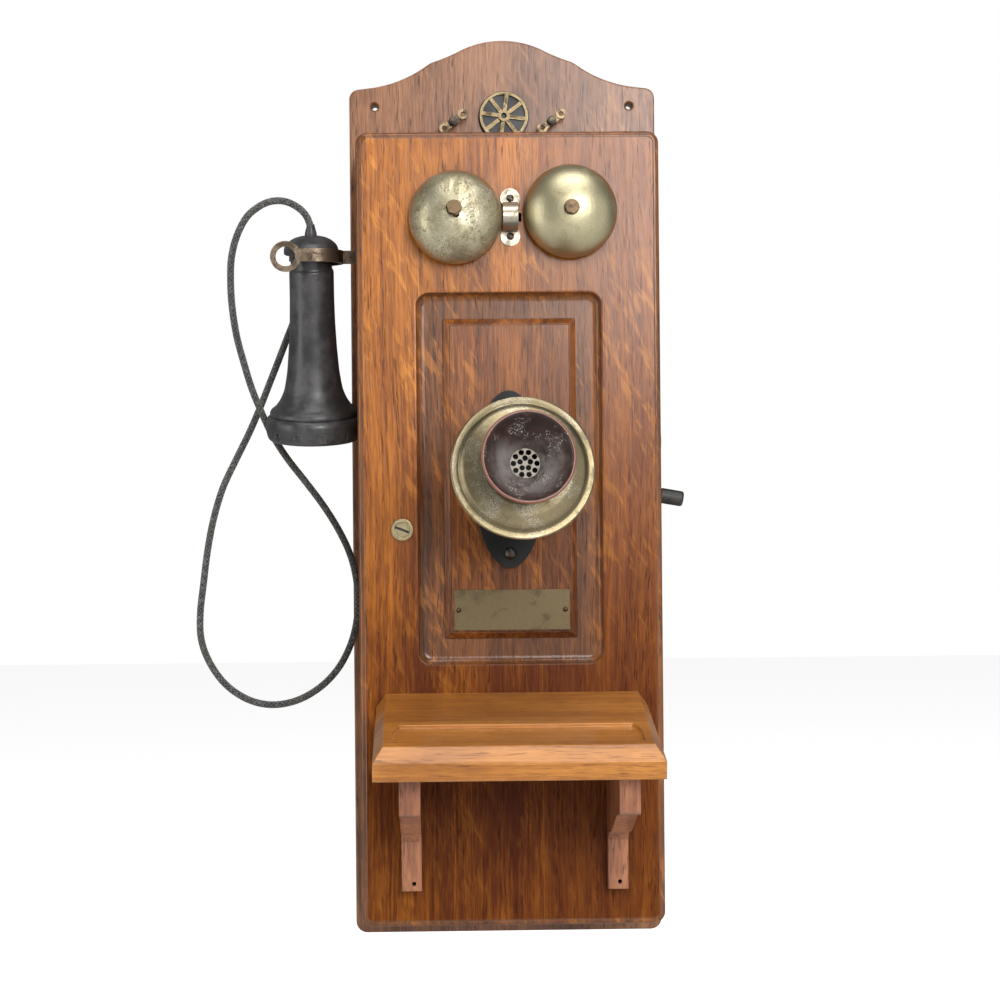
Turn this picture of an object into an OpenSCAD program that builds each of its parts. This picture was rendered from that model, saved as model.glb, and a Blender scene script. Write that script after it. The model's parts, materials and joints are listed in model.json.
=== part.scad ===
// Wall crank telephone in an oak case.
// +Z is up, the front faces -Y, and the wall plane is Y = 0.
// The origin lies on the wall plane, midway between the two wall screws.

/* [Oak case] */
// Width of the backboard
board_w = 222; // [218:1:230]
// Height of the backboard below the wall screws
board_drop = 599.5; // [595:0.5:612]
// Thickness of the backboard
board_t = 19; // [18:1:20]
// Height of the backboard's crest above the wall screws
crest_h = 48; // [46:1:50]
// Distance between the two wall screws
screw_pitch = 185; // [180:1:188]
// Outside width of the cabinet behind the door
case_w = 204; // [202:0.5:205]
// Depth of the cabinet in front of the backboard
case_d = 99.4; // [98.8:0.2:99.8]
// Thickness of the cabinet's boards
case_t = 12; // [11:1:12]
// Width of the door
door_w = 208; // [206:0.5:210]
// Height of the door
door_h = 543.5; // [541:0.5:546]
// Thickness of the door
door_t = 20; // [19:0.5:21]
// Depth of the sunk panel in the door
recess_depth = 6; // [4:0.5:7]

/* [Bells] */
// Outside radius of each gong
gong_r = 31.8; // [31:0.1:32]
// Height of each gong from rim to crown
gong_h = 24; // [22:0.5:26]
// Wall of each gong
gong_wall = 1.6; // [1.2:0.1:2]
// Gap between the gong's rim and the door
gong_gap = 8; // [7:0.5:9]

/* [Transmitter] */
// Upward tilt of the transmitter
mouth_tilt = 10; // [5:1:12]
// Turn of the transmitter to the right
mouth_yaw = 4; // [2:0.5:6]
// Radius of the faceplate
face_r = 47.4; // [44:0.1:48]
// Radius of the mouthpiece at its rim
mouth_r = 30.6; // [30:0.1:31]

/* [Receiver] */
// Lean of the hanging receiver, bottom towards the wall
receiver_tilt = 11.5; // [11:0.5:12]
// Radius of the tail cap
tail_r = 19.2; // [19:0.1:19.4]
// Radius of the neck
neck_r = 15.7; // [15.4:0.1:15.8]
// Radius of the ear cap
ear_r = 34.5; // [33:0.1:35]
// Diameter of the receiver cord
cord_d = 5; // [4.6:0.1:5.2]

/* [Crank and generator] */
// Distance from the crank's shaft to its grip
crank_r = 38; // [37:0.5:39]
// Diameter of the grip
grip_d = 10.9; // [10:0.1:11]
// Teeth on the drive gear
gear_teeth = 60; // [60:1:60]
// Teeth on the armature's pinion
pinion_teeth = 12; // [12:1:12]

/* [Writing shelf] */
// Downward slope of the shelf
shelf_slope = 9; // [8:0.5:10]
// Width of the shelf over its bevels
shelf_w = 185.6; // [180:0.5:190]
// Depth of the shelf along its slope
shelf_d = 161; // [155:1:165]
// Thickness of the shelf
shelf_t = 21; // [20:0.5:22]

/* [Hidden] */
$fn = 64;

running = 0.05;                             // radial clearance of a running fit
board_front = -board_t;                     // front face of the backboard
case_front = board_front - case_d;          // front edges of the cabinet
door_gap = 0.6;                             // gap behind the closed door
door_back = case_front - door_gap;
door_face = door_back - door_t;
case_top = -36.5;
case_bottom = -576;
door_top = -34.5;
door_mid = door_top - door_h / 2;
inner_x = case_w / 2 - case_t;              // inside faces of the cabinet's sides
hinge_x = case_w / 2 + 0.4;
hinge_y = (case_front + door_back) / 2;
hinge_z = [-110, -500];
knuckle_r = 2.4;
knuckle_len = 50;
pin_r = 1.2;
leaf_t = 1.4;
leaf_h = 44;
lock_x = -74.2;
lock_z = -306.7;
lock_r = 5;
recess_w = 126.5;
recess_h = 254;
recess_mid = -272;
field_w = 91;
field_h = 219;
field_flat_w = 82;
field_flat_h = 210;
gong_y = door_face - gong_gap;              // plane of the gong rims
gong_x = [-35.9, 42.7];
gong_z = [-94, -90.5];
gong_bolt_x = [-37, 42.4];
gong_bolt_z = -90;
gong_post_r = 3.6;
gong_bolt_r = 2;
clapper_x = 3.4;
clapper_z = -93.5;
clapper_y = door_face - 8.5;
clapper_ball_r = 3.5;
armature_y = -100;
armature_z = -140;
guard_x = 1.7;
pivot = [0, -165, -280.5];
pivot_r = 3;
base_x = -0.5;
crank_y = -66;
crank_z = -246;
shaft_r = 4;
gear_module = 1.25;
gear_pitch_r = gear_module * gear_teeth / 2;
pinion_pitch_r = gear_module * pinion_teeth / 2;
rotor_z = crank_z - gear_pitch_r - pinion_pitch_r;
rotor_r = 15;
rotor_shaft_r = 3;
magnet_in = 22;
magnet_out = 38;
generator_foot = rotor_z - 16;
arm_x = case_w / 2 + 1.4;
arm_t = 4;
grip_tilt = 10;
grip_pin_r = 2.2;
grip_len = 18;
lever_y = -83.7;
lever_z = -115;
lever_pivot_x = -76;
lever_pin_r = 2;
fork_x = -136.4;
fork_in = 19.7;
fork_t = 2.5;
receiver_top = [-137, -84, -99];
receiver_lean = 0.1;
cell_r = 32;
gland_y = -45;
gland_z = -112;
gland_out = 4;

// Route of the receiver cord, from the tail cap round its loop to the gland in the case's side.
cord_route = [
    [-137, -84, -101], [-137, -86, -94], [-140, -88, -86], [-146, -89, -80], [-155, -90, -76],
    [-165, -89, -76], [-174, -88, -80], [-182, -87, -87], [-189, -85, -100], [-193, -82, -115],
    [-194, -77, -131], [-193.5, -72, -148], [-191, -66, -168], [-186.5, -59, -187],
    [-181.5, -52, -205], [-175.5, -45, -221], [-168, -38, -238], [-157.5, -34, -255],
    [-144.5, -32, -272], [-132, -31, -289], [-121.5, -31, -306], [-113.5, -31, -323],
    [-109, -31, -340], [-107.5, -31, -357], [-109, -30, -375], [-114, -29, -392],
    [-123, -28, -408], [-136, -27, -421], [-152.5, -26, -430], [-170.5, -25, -433],
    [-188, -24, -429], [-204, -23, -418], [-215.5, -22, -402], [-221.5, -21, -385],
    [-222, -20, -366], [-219.5, -20, -345], [-216.5, -20, -322], [-212, -20, -299],
    [-205, -20, -276], [-195, -20, -255], [-185.5, -20, -236], [-178, -20, -219],
    [-171, -22, -202], [-163.5, -26, -184], [-156.5, -30, -167], [-149, -35, -150],
    [-141.5, -39.5, -136], [-134, -43, -125], [-125.5, -45, -116], [-117, -45, -112.5],
    [-110, -45, -112], [-106.3, -45, -112]];

// ---- shared helpers ----

// Extrudes a front-view outline backwards-facing: from depth y0 towards the front by t.
module front(y0, t) {
    translate([0, y0, 0]) rotate([90, 0, 0]) linear_extrude(t) children();
}

// Extrudes a side-view outline (y, z) along X from x0 by t.
module side(x0, t) {
    translate([x0, 0, 0]) rotate([90, 0, 90]) linear_extrude(t) children();
}

// Cylinder from a point towards the front.
module peg(x, y, z, r, len) {
    translate([x, y, z]) rotate([90, 0, 0]) cylinder(h = len, r = r);
}

// Cylinder from a point along +X.
module rod(x, y, z, r, len) {
    translate([x, y, z]) rotate([0, 90, 0]) cylinder(h = len, r = r);
}

// Box from its low corner to its high corner.
module span(low, high) {
    translate(low) cube(high - low);
}

// Round-cornered rectangle centred on (0, z).
module rounded_rect(w, h, r, z) {
    translate([0, z]) union() {
        square([w - 2 * r, h], center = true);
        square([w, h - 2 * r], center = true);
        for (sx = [-1, 1], sz = [-1, 1])
            translate([sx * (w / 2 - r), sz * (h / 2 - r)]) circle(r);
    }
}

// Points along an arc: centre, radius, first and last angle, number of steps.
function arc(cx, cy, r, a0, a1, n) =
    [for (i = [0:n]) let (a = a0 + (a1 - a0) * i / n) [cx + r * cos(a), cy + r * sin(a)]];

// Points along an ellipse quarter, from its side to its top.
function dome(rx, ry, n) = [for (i = [0:n]) [rx * cos(90 * i / n), ry * sin(90 * i / n)]];

// Frame of the transmitter: Z runs forwards along its axis from the pivot, Y is up.
module on_transmitter() {
    translate(pivot) rotate([-mouth_tilt, 0, mouth_yaw]) rotate([90, 0, 0]) children();
}

// Frame of the receiver: Z runs down its axis from the top of the tail cap.
module on_receiver() {
    translate(receiver_top) rotate([receiver_tilt, -receiver_lean, 0]) mirror([0, 0, 1]) children();
}

// ---- oak case ----

// Right half of the crest: dome, hollow flank, hollow sweep from its shoulder, then the rounded corner.
function crest_half() =
    let (dome_r = 68, flank_r = 146, sweep_r = 90, corner_r = 7, half = board_w / 2)
    concat(
        arc(0, crest_h - dome_r, dome_r, 90, 63.4, 12),
        arc(95.7, crest_h + 123.3, flank_r, 244, 252.3, 5),
        arc(106.9, crest_h + 55.3, sweep_r, 233.5, 264.3, 10),
        arc(half - corner_r, crest_h - 42, corner_r, 84, 0, 5));

module backboard_outline() {
    right = crest_half();
    n = len(right);
    corner_r = 8;
    half = board_w / 2;
    base_right = arc(half - corner_r, -board_drop + corner_r, corner_r, 0, -90, 6);
    base_left = arc(corner_r - half, -board_drop + corner_r, corner_r, -90, -180, 6);
    left = [for (i = [n - 1:-1:1]) [-right[i][0], right[i][1]]];
    polygon(concat(right, base_right, base_left, left));
}

module backboard() {
    countersink_r = 3.8;
    countersink_h = 2.5;
    hole_r = 2.2;
    color("saddlebrown") difference() {
        front(0, board_t) backboard_outline();
        for (s = [-1, 1]) {
            peg(s * screw_pitch / 2, 1, 0, hole_r, board_t + 2);
            translate([s * screw_pitch / 2, board_front + countersink_h, 0]) rotate([90, 0, 0])
                cylinder(h = countersink_h, r1 = hole_r, r2 = countersink_r);
        }
    }
}

module knuckle_notches() {
    for (z = hinge_z)
        translate([hinge_x, hinge_y, z - knuckle_len / 2 - 2])
            cylinder(h = knuckle_len + 4, r = knuckle_r + 0.5);
}

module cabinet_side(s) {
    x0 = s > 0 ? inner_x : -case_w / 2;
    span([x0, case_front, case_bottom], [x0 + case_t, board_front, case_top]);
}

module cabinet_side_left() {
    strike_depth = 7;
    color("sienna") difference() {
        cabinet_side(-1);
        span([-case_w / 2 - 1, lever_y - 3.4, lever_z - 7], [-inner_x + 1, lever_y + 3.4, lever_z + 12]);
        span([-inner_x - strike_depth, door_back + 2.2, lock_z - 7], [-inner_x + 1, -110, lock_z + 24]);
        rod(-case_w / 2 - 1, gland_y, gland_z, 3.5, case_t + 2);
    }
}

module cabinet_side_right() {
    color("sienna") difference() {
        cabinet_side(1);
        rod(inner_x - 1, crank_y, crank_z, 6, case_t + 2);
        knuckle_notches();
        for (z = hinge_z)
            span([inner_x - 1, case_front - 1, z - leaf_h / 2],
                [hinge_x, case_front + leaf_t, z + leaf_h / 2]);
    }
}

module cabinet_top() {
    color("sienna") span([-inner_x, case_front, case_top - case_t], [inner_x, board_front, case_top]);
}

module cabinet_bottom() {
    color("sienna") span([-inner_x, case_front, case_bottom], [inner_x, board_front, case_bottom + case_t]);
}

module generator_shelf() {
    shelf_front = -106;
    color("peru") span([-inner_x, shelf_front, generator_foot - 10], [inner_x, board_front, generator_foot]);
}

// ---- hinges ----

// Knuckles of one hinge between two heights, bored for the pin.
module knuckle(z, low, high, bore) {
    translate([hinge_x, hinge_y, z + low]) difference() {
        cylinder(h = high - low, r = knuckle_r);
        translate([0, 0, -1]) cylinder(h = high - low + 2, r = bore);
    }
}

module cabinet_hinge_leaves() {
    color("darkgoldenrod") for (z = hinge_z) {
        for (part = [[-25, -9], [9, 25]]) {
            knuckle(z, part[0], part[1], pin_r);
            difference() {
                span([inner_x + 1, case_front, z + max(part[0], -leaf_h / 2)],
                    [hinge_x, case_front + leaf_t, z + min(part[1], leaf_h / 2)]);
                translate([hinge_x, hinge_y, z - 30]) cylinder(h = 60, r = pin_r);
            }
        }
        span([inner_x + 1, case_front, z - leaf_h / 2], [hinge_x - 3.2, case_front + leaf_t, z + leaf_h / 2]);
    }
}

module door_hinge_leaves() {
    color("darkgoldenrod") for (z = hinge_z) {
        knuckle(z, -8.7, 8.7, pin_r + running);
        difference() {
            union() {
                span([hinge_x - 12, door_back - leaf_t, z - 8.7], [hinge_x, door_back, z + 8.7]);
                span([hinge_x - 12, door_back - leaf_t, z - leaf_h / 2],
                    [hinge_x - 3.2, door_back, z + leaf_h / 2]);
            }
            translate([hinge_x, hinge_y, z - 30]) cylinder(h = 60, r = pin_r + running);
        }
    }
}

module hinge_pins() {
    head_h = 1.5;
    color("goldenrod") for (z = hinge_z) translate([hinge_x, hinge_y, z]) {
        translate([0, 0, -25]) cylinder(h = 50, r = pin_r);
        translate([0, 0, 25]) cylinder(h = head_h, r = knuckle_r - 0.2);
    }
}

// ---- lightning arrester and line terminals ----

arrester_x = 1.2;
arrester_z = -7.5;

module arrester_base() {
    color("black") peg(arrester_x, board_front, arrester_z, 18.4, 2.5);
}

module arrester_wheel() {
    rim_out = 17.5;
    rim_in = 15.7;
    spoke_w = 2.6;
    wheel_y = board_front - 2.5;
    color("goldenrod") difference() {
        union() {
            difference() {
                peg(arrester_x, wheel_y, arrester_z, rim_out, 2.6);
                peg(arrester_x, wheel_y + 1, arrester_z, rim_in, 6);
            }
            for (i = [0:3]) translate([arrester_x, wheel_y, arrester_z]) rotate([90, 45 * i + 8, 0])
                translate([-rim_in - 0.6, -spoke_w / 2, 0]) cube([2 * rim_in + 1.2, spoke_w, 2]);
            peg(arrester_x, wheel_y, arrester_z, 4.1, 4);
        }
        peg(arrester_x, wheel_y + 1, arrester_z, 2.1, 8);
    }
}

post_x = [-35.4, 35.6];
post_z = -12.5;
post_turn = 37;

// Frame of one binding post, its bar lying level from lower left to upper right.
module on_post(i) {
    translate([post_x[i], board_front, post_z]) rotate([0, -post_turn, 0]) children();
}

module binding_posts() {
    ring_out = 3.7;
    ring_in = 1.7;
    reach = 8.4;
    color("goldenrod") for (i = [0, 1]) on_post(i) {
        peg(0, 0, 0, 2.6, 9);
        difference() {
            union() {
                span([-reach, -13, -2.6], [reach, -9, 2.6]);
                for (s = [-1, 1]) peg(s * reach, -8.5, 0, ring_out, 6.5);
                peg(0, -13, 0, 1.6, 9);
            }
            for (s = [-1, 1]) peg(s * reach, -7, 0, ring_in, 9);
        }
    }
}

module binding_nuts() {
    color("dimgray") for (i = [0, 1]) on_post(i) difference() {
        union() {
            peg(0, -13, 0, 3.4, 3);
            peg(0, -16, 0, 2.9, 4);
        }
        peg(0, -12, 0, 1.6, 9);
    }
}

// ---- generator ----

module generator_magnets() {
    bar_w = 18;
    color("dimgray") for (i = [0:4]) side(-40 + 20 * i, bar_w) difference() {
        union() {
            translate([crank_y, crank_z]) circle(magnet_out);
            translate([crank_y - magnet_out, generator_foot])
                square([2 * magnet_out, crank_z - generator_foot]);
        }
        translate([crank_y, crank_z]) circle(magnet_in);
        translate([crank_y - magnet_in, generator_foot - 1])
            square([2 * magnet_in, crank_z - generator_foot + 1]);
    }
}

module generator_poles() {
    gap_w = 12;
    color("gray") difference() {
        span([-40, crank_y - magnet_in, generator_foot], [58, crank_y + magnet_in, rotor_z + 18]);
        rod(-41, crank_y, rotor_z, rotor_r + 0.6, 102);
        span([-41, crank_y - gap_w / 2, generator_foot - 1], [59, crank_y + gap_w / 2, rotor_z + 19]);
    }
}

module generator_plates() {
    color("goldenrod") for (x = [-46, 63]) difference() {
        side(x, 3) union() {
            translate([crank_y, crank_z]) circle(16);
            translate([crank_y - 16, generator_foot]) square([32, crank_z - generator_foot]);
            translate([crank_y - magnet_out, generator_foot]) square([2 * magnet_out, 26]);
        }
        rod(x - 1, crank_y, crank_z, shaft_r + running, 5);
        rod(x - 1, crank_y, rotor_z, rotor_shaft_r + running, 5);
    }
}

// Involute gear outline: roll(r) is the angle from the base circle to radius r.
function roll(base, r) = r <= base ? 0 : let (a = acos(base / r)) tan(a) * 180 / PI - a;

function tooth_points(teeth, r_root, r_tip, play) =
    let (
        pressure = 20,
        pitch_r = gear_module * teeth / 2,
        base = pitch_r * cos(pressure),
        half = 90 / teeth - play / pitch_r * 180 / PI + roll(base, pitch_r),
        flank = [for (i = [0:4]) let (r = max(base, r_root) + (r_tip - max(base, r_root)) * i / 4) r])
    concat(
        [for (r = flank) [r, -(half - roll(base, r))]],
        [for (i = [4:-1:0]) [flank[i], half - roll(base, flank[i])]]);

module gear_outline(teeth, turn) {
    pitch_r = gear_module * teeth / 2;
    r_tip = pitch_r + 0.9 * gear_module;
    r_root = pitch_r - 1.15 * gear_module;
    base = pitch_r * cos(20);
    half = 90 / teeth - 0.12 / pitch_r * 180 / PI + roll(base, pitch_r);
    tooth = concat([[r_root, -half]], tooth_points(teeth, r_root, r_tip, 0.12), [[r_root, half]]);
    polygon([for (i = [0:teeth - 1], p = tooth)
        let (a = turn + 360 * i / teeth + p[1]) [p[0] * cos(a), p[0] * sin(a)]]);
}

gear_x = 78;
gear_w = 5;

module drive_gear() {
    web_hole_r = 7;
    color("darkgoldenrod") difference() {
        union() {
            side(gear_x, gear_w) translate([crank_y, crank_z]) gear_outline(gear_teeth, -90);
            rod(gear_x - 4, crank_y, crank_z, 9, 4);
        }
        rod(gear_x - 5, crank_y, crank_z, shaft_r, gear_w + 6);
        for (i = [0:5]) translate([0, crank_y + 22 * cos(60 * i + 30), crank_z + 22 * sin(60 * i + 30)])
            rod(gear_x - 1, 0, 0, web_hole_r, gear_w + 2);
    }
}

module armature_pinion() {
    half_tooth = 180 / pinion_teeth;
    color("goldenrod") difference() {
        union() {
            side(gear_x - 0.5, gear_w + 1) translate([crank_y, rotor_z])
                gear_outline(pinion_teeth, 90 + half_tooth);
            rod(gear_x - 5, crank_y, rotor_z, 5.4, 4.5);
        }
        rod(gear_x - 6, crank_y, rotor_z, rotor_shaft_r, gear_w + 8);
    }
}

module generator_armature() {
    slot_w = 14;
    color("firebrick") union() {
        difference() {
            rod(-38, crank_y, rotor_z, rotor_r, 94);
            for (s = [-1, 1]) translate([-30, crank_y - slot_w / 2, rotor_z + (s > 0 ? 8 : -18)])
                cube([78, slot_w, 10]);
        }
        rod(-50, crank_y, rotor_z, rotor_shaft_r, 137);
    }
}

// ---- crank ----

module crank_handle() {
    hub_r = 7;
    arm_w = 9;
    end_r = 6;
    shaft_left = -50;
    grip_z = crank_z - crank_r;
    color("dimgray") union() {
        rod(shaft_left, crank_y, crank_z, shaft_r, arm_x + arm_t - shaft_left);
        rod(arm_x, crank_y, crank_z, hub_r, arm_t + 2);
        span([arm_x, crank_y - arm_w / 2, grip_z], [arm_x + arm_t, crank_y + arm_w / 2, crank_z]);
        rod(arm_x, crank_y, grip_z, end_r, arm_t);
        translate([arm_x + arm_t, crank_y, grip_z]) rotate([0, 90 + grip_tilt, 0]) translate([0, 0, -2])
            cylinder(h = grip_len - 1, r = grip_pin_r);
    }
}

module crank_grip() {
    tip_r = 2;
    r = grip_d / 2;
    bore_len = grip_len - 2.5;
    profile = concat([[0, 1.2], [r - 0.8, 1.2], [r, 2]], arc(r - tip_r, grip_len - tip_r, tip_r, 0, 90, 5),
        [[0, grip_len]]);
    color("black") translate([arm_x + arm_t, crank_y, crank_z - crank_r]) rotate([0, 90 + grip_tilt, 0])
        difference() {
            rotate_extrude() polygon(profile);
            translate([0, 0, -1]) cylinder(h = bore_len + 1, r = grip_pin_r + running);
        }
}

// ---- hook switch ----

module hook_lever() {
    arm_h = 9;
    arm_w = 5;
    ring_out = 10.7;
    ring_in = 6.9;
    ring_x = -153.9;
    low = lever_z - arm_h / 2;
    high = lever_z + arm_h / 2;
    rear_top = -109.8;
    rear_low = -115.8;
    bend_out = fork_in + fork_t;
    color("darkkhaki") difference() {
        union() {
            span([fork_x + fork_in + 0.6, lever_y - arm_w / 2, low],
                [lever_pivot_x, lever_y + arm_w / 2, high]);
            peg(lever_pivot_x, lever_y + arm_w / 2, lever_z, 7, arm_w);
            span([lever_pivot_x, lever_y - arm_w / 2, lever_z - 26],
                [lever_pivot_x + 7, lever_y + arm_w / 2, lever_z]);
            translate([fork_x, lever_y, low]) difference() {
                cylinder(h = arm_h, r = bend_out);
                translate([0, 0, -1]) cylinder(h = arm_h + 2, r = fork_in);
                translate([-bend_out - 1, -bend_out - 1, -1])
                    cube([bend_out + 1, 2 * bend_out + 2, arm_h + 2]);
            }
            span([ring_x + 7, lever_y - bend_out, low], [fork_x, lever_y - fork_in, high]);
            span([fork_x - 17, lever_y + fork_in, rear_low], [fork_x, lever_y + bend_out, rear_top]);
            peg(ring_x, lever_y - fork_in, lever_z - 1, ring_out, 3);
        }
        peg(ring_x, lever_y - fork_in + 1, lever_z - 1, ring_in, 5);
        peg(lever_pivot_x, lever_y + arm_w, lever_z, lever_pin_r + running, 2 * arm_w);
    }
}

module hook_switch_frame() {
    ear_t = 3;
    color("gray") union() {
        for (s = [-1, 1]) span([-inner_x, lever_y + s * 5 - ear_t / 2, lever_z - 40],
            [lever_pivot_x + 6, lever_y + s * 5 + ear_t / 2, lever_z + 8]);
        span([-inner_x, lever_y - 6.5, lever_z - 52], [-inner_x + 3, lever_y + 6.5, lever_z - 32]);
        peg(lever_pivot_x, lever_y + 8, lever_z, lever_pin_r, 16);
    }
}

module hook_contact_springs() {
    color("goldenrod") for (i = [0:2])
        span([-66 + 4 * i, lever_y - 3, lever_z - 62], [-65.2 + 4 * i, lever_y + 3, lever_z - 6]);
    color("black") span([-inner_x + 3, lever_y - 4, lever_z - 62], [-66, lever_y + 4, lever_z - 54]);
}

// ---- small electrical parts ----

module induction_coil() {
    coil_z = -350;
    coil_y = board_front - 17;
    color("darkgreen") union() {
        rod(-40, coil_y, coil_z, 13, 80);
        for (x = [-45, 40]) span([x, coil_y - 17, coil_z - 17], [x + 5, board_front, coil_z + 17]);
    }
}

module condenser() {
    color("silver") span([-80, board_front - 22, -398], [-28, board_front, -374]);
}

module dry_cells() {
    cell_low = case_bottom + case_t;
    cell_h = 150;
    color("slategray") for (s = [-1, 1]) union() {
        translate([s * (cell_r + 1), crank_y, cell_low]) cylinder(h = cell_h, r = cell_r);
        translate([s * (cell_r + 1), crank_y, cell_low]) cylinder(h = cell_h + 10, r = 4);
        translate([s * (cell_r + 1) + 24, crank_y, cell_low]) cylinder(h = cell_h + 8, r = 3);
    }
}

module cord_gland() {
    color("black") difference() {
        union() {
            rod(-case_w / 2 - gland_out, gland_y, gland_z, 4, gland_out);
            rod(-case_w / 2, gland_y, gland_z, 3.5, case_t);
        }
        rod(-case_w / 2, gland_y, gland_z, 2.2, case_t + 1);
    }
}

// ---- door ----

module door_board() {
    field_step = 3;
    slot_w = 12;
    slot_h = 6;
    color("saddlebrown") difference() {
        union() {
            difference() {
                front(door_back, door_t) rounded_rect(door_w, door_h, 8, door_mid);
                front(door_face + recess_depth, recess_depth + 1)
                    rounded_rect(recess_w, recess_h, 9, recess_mid);
            }
            front(door_face + recess_depth, field_step) translate([0.3, recess_mid])
                square([field_w, field_h], center = true);
            front(door_face + recess_depth, recess_depth) translate([0.3, recess_mid])
                square([field_flat_w, field_flat_h], center = true);
        }
        span([clapper_x - slot_w / 2, door_face - 1, clapper_z - slot_h / 2],
            [clapper_x + slot_w / 2, door_back + 1, clapper_z + slot_h / 2]);
        peg(lock_x, door_back + 1, lock_z, 6.5, door_t + 2);
        knuckle_notches();
        for (z = hinge_z)
            span([hinge_x - 12, door_back - leaf_t, z - leaf_h / 2],
                [hinge_x, door_back + 1, z + leaf_h / 2]);
    }
}

module lock_barrel() {
    flange_r = 7.6;
    color("goldenrod") difference() {
        union() {
            peg(lock_x, door_back, lock_z, 6.5, door_t);
            peg(lock_x, door_face, lock_z, flange_r, 1.6);
        }
        peg(lock_x, door_back + 1, lock_z, lock_r + running, door_t + 4);
    }
}

module lock_plug() {
    slot_w = 1.8;
    slot_tilt = 21;
    cam_len = 22;
    cam_t = 3;
    cam_y = door_back + 3;
    color("gold") difference() {
        union() {
            peg(lock_x, cam_y + cam_t, lock_z, lock_r, cam_y + cam_t - door_face + 1);
            span([lock_x - 4, cam_y, lock_z - 6], [lock_x + 4, cam_y + cam_t, lock_z + cam_len]);
        }
        translate([lock_x, door_face - 1, lock_z]) rotate([0, slot_tilt, 0])
            translate([-lock_r - 1, -2, -slot_w / 2]) cube([2 * lock_r + 2, 3, slot_w]);
    }
}

// ---- bells and ringer ----

// One gong, rim at the origin's plane and crown towards the front, bored off centre.
module gong(i) {
    crown_r = 8;
    wall = gong_wall;
    skirt = 3;
    steps = 14;
    outer = [for (p = dome(gong_r, gong_h - skirt, steps)) if (p[0] > crown_r) p + [0, skirt]];
    inner = [for (p = dome(gong_r - wall, gong_h - skirt - wall, steps)) if (p[0] > crown_r) p + [0, skirt]];
    inside = [for (k = [len(inner) - 1:-1:0]) inner[k]];
    profile = concat([[gong_r, 0]], outer, [[crown_r, gong_h], [0, gong_h], [0, gong_h - wall],
        [crown_r, gong_h - wall]], inside, [[gong_r - wall, 0]]);
    difference() {
        translate([gong_x[i], gong_y, gong_z[i]]) rotate([90, 0, 0])
            rotate_extrude($fn = 96) polygon(profile);
        peg(gong_bolt_x[i], gong_y - gong_h + 4, gong_bolt_z, gong_bolt_r + 0.2, 6);
    }
}

module gong_left() {
    color("darkkhaki") gong(0);
}

module gong_right() {
    color("darkkhaki") gong(1);
}

module gong_posts() {
    foot_r = 8;
    post_len = gong_gap + gong_h - gong_wall;
    color("goldenrod") for (x = gong_bolt_x) difference() {
        union() {
            peg(x, door_face, gong_bolt_z, foot_r, 3);
            peg(x, door_face, gong_bolt_z, gong_post_r, post_len);
        }
        peg(x, door_face - post_len + 12, gong_bolt_z, gong_bolt_r + running, 14);
    }
}

module gong_bolts() {
    head_h = 4.2;
    head_r = 5;
    washer_h = 1;
    washer_r = 5.4;
    head_y = gong_y - gong_h;
    color("darkgoldenrod") for (x = gong_bolt_x) union() {
        peg(x, head_y, gong_bolt_z, washer_r, washer_h);
        translate([x, head_y - washer_h, gong_bolt_z]) rotate([90, 15, 0])
            cylinder(h = head_h, r = head_r, $fn = 6);
        peg(x, head_y + 11, gong_bolt_z, gong_bolt_r, 12);
    }
}

module clapper_guard() {
    ear_r = 6.8;
    strap_w = 10.4;
    arch_out = 10;
    arch_in = 8.8;
    leg = 5;
    plate_t = 1.4;
    ear_gap = 13;
    color("silver") difference() {
        union() {
            for (s = [-1, 1]) peg(guard_x, door_face, clapper_z + s * ear_gap, ear_r, plate_t);
            difference() {
                side(guard_x - strap_w / 2, strap_w) translate([door_face, clapper_z]) union() {
                    translate([-leg, 0]) circle(arch_out);
                    translate([-leg, -arch_out]) square([leg, 2 * arch_out]);
                }
                side(guard_x - strap_w / 2 - 1, strap_w + 2) translate([door_face, clapper_z]) union() {
                    translate([-leg, 0]) circle(arch_in);
                    translate([-leg, -arch_in]) square([2 * leg + 6, 2 * arch_in]);
                }
                span([guard_x - 20, door_face, clapper_z - 20],
                    [guard_x + 20, door_face + 20, clapper_z + 20]);
            }
        }
        span([guard_x - 20, door_face - 4, clapper_z - arch_in],
            [guard_x + 20, door_face + 1, clapper_z + arch_in]);
        for (s = [-1, 1]) peg(guard_x, door_face + 1, clapper_z + s * ear_gap, 1.75, 4);
    }
}

module ringer_frame() {
    color("gray") difference() {
        union() {
            span([clapper_x - 30, door_back, -205], [clapper_x + 30, door_back + 2, -128]);
            span([clapper_x - 30, door_back, -205], [clapper_x + 30, door_back + 30, -199]);
            peg(clapper_x, door_back + 26, armature_z, 1.5, 26);
        }
        for (dz = [-192, -158], s = [-1, 1]) peg(clapper_x + s * 26, door_back + 4, dz, 1.8, 8);
    }
}

module ringer_coils() {
    color("firebrick") for (s = [-1, 1]) translate([clapper_x + s * 16, armature_y, -199]) union() {
        cylinder(h = 48.5, r = 4);
        translate([0, 0, 2]) cylinder(h = 2, r = 13);
        translate([0, 0, 4]) cylinder(h = 36, r = 11.5);
        translate([0, 0, 40]) cylinder(h = 2, r = 13);
    }
}

module ringer_magnet() {
    color("dimgray") side(clapper_x - 7, 14) polygon([
        [door_back + 30, -205], [door_back + 36, -205], [door_back + 36, -134],
        [door_back + 28, -134], [door_back + 28, -140], [door_back + 30, -140]]);
}

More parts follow.
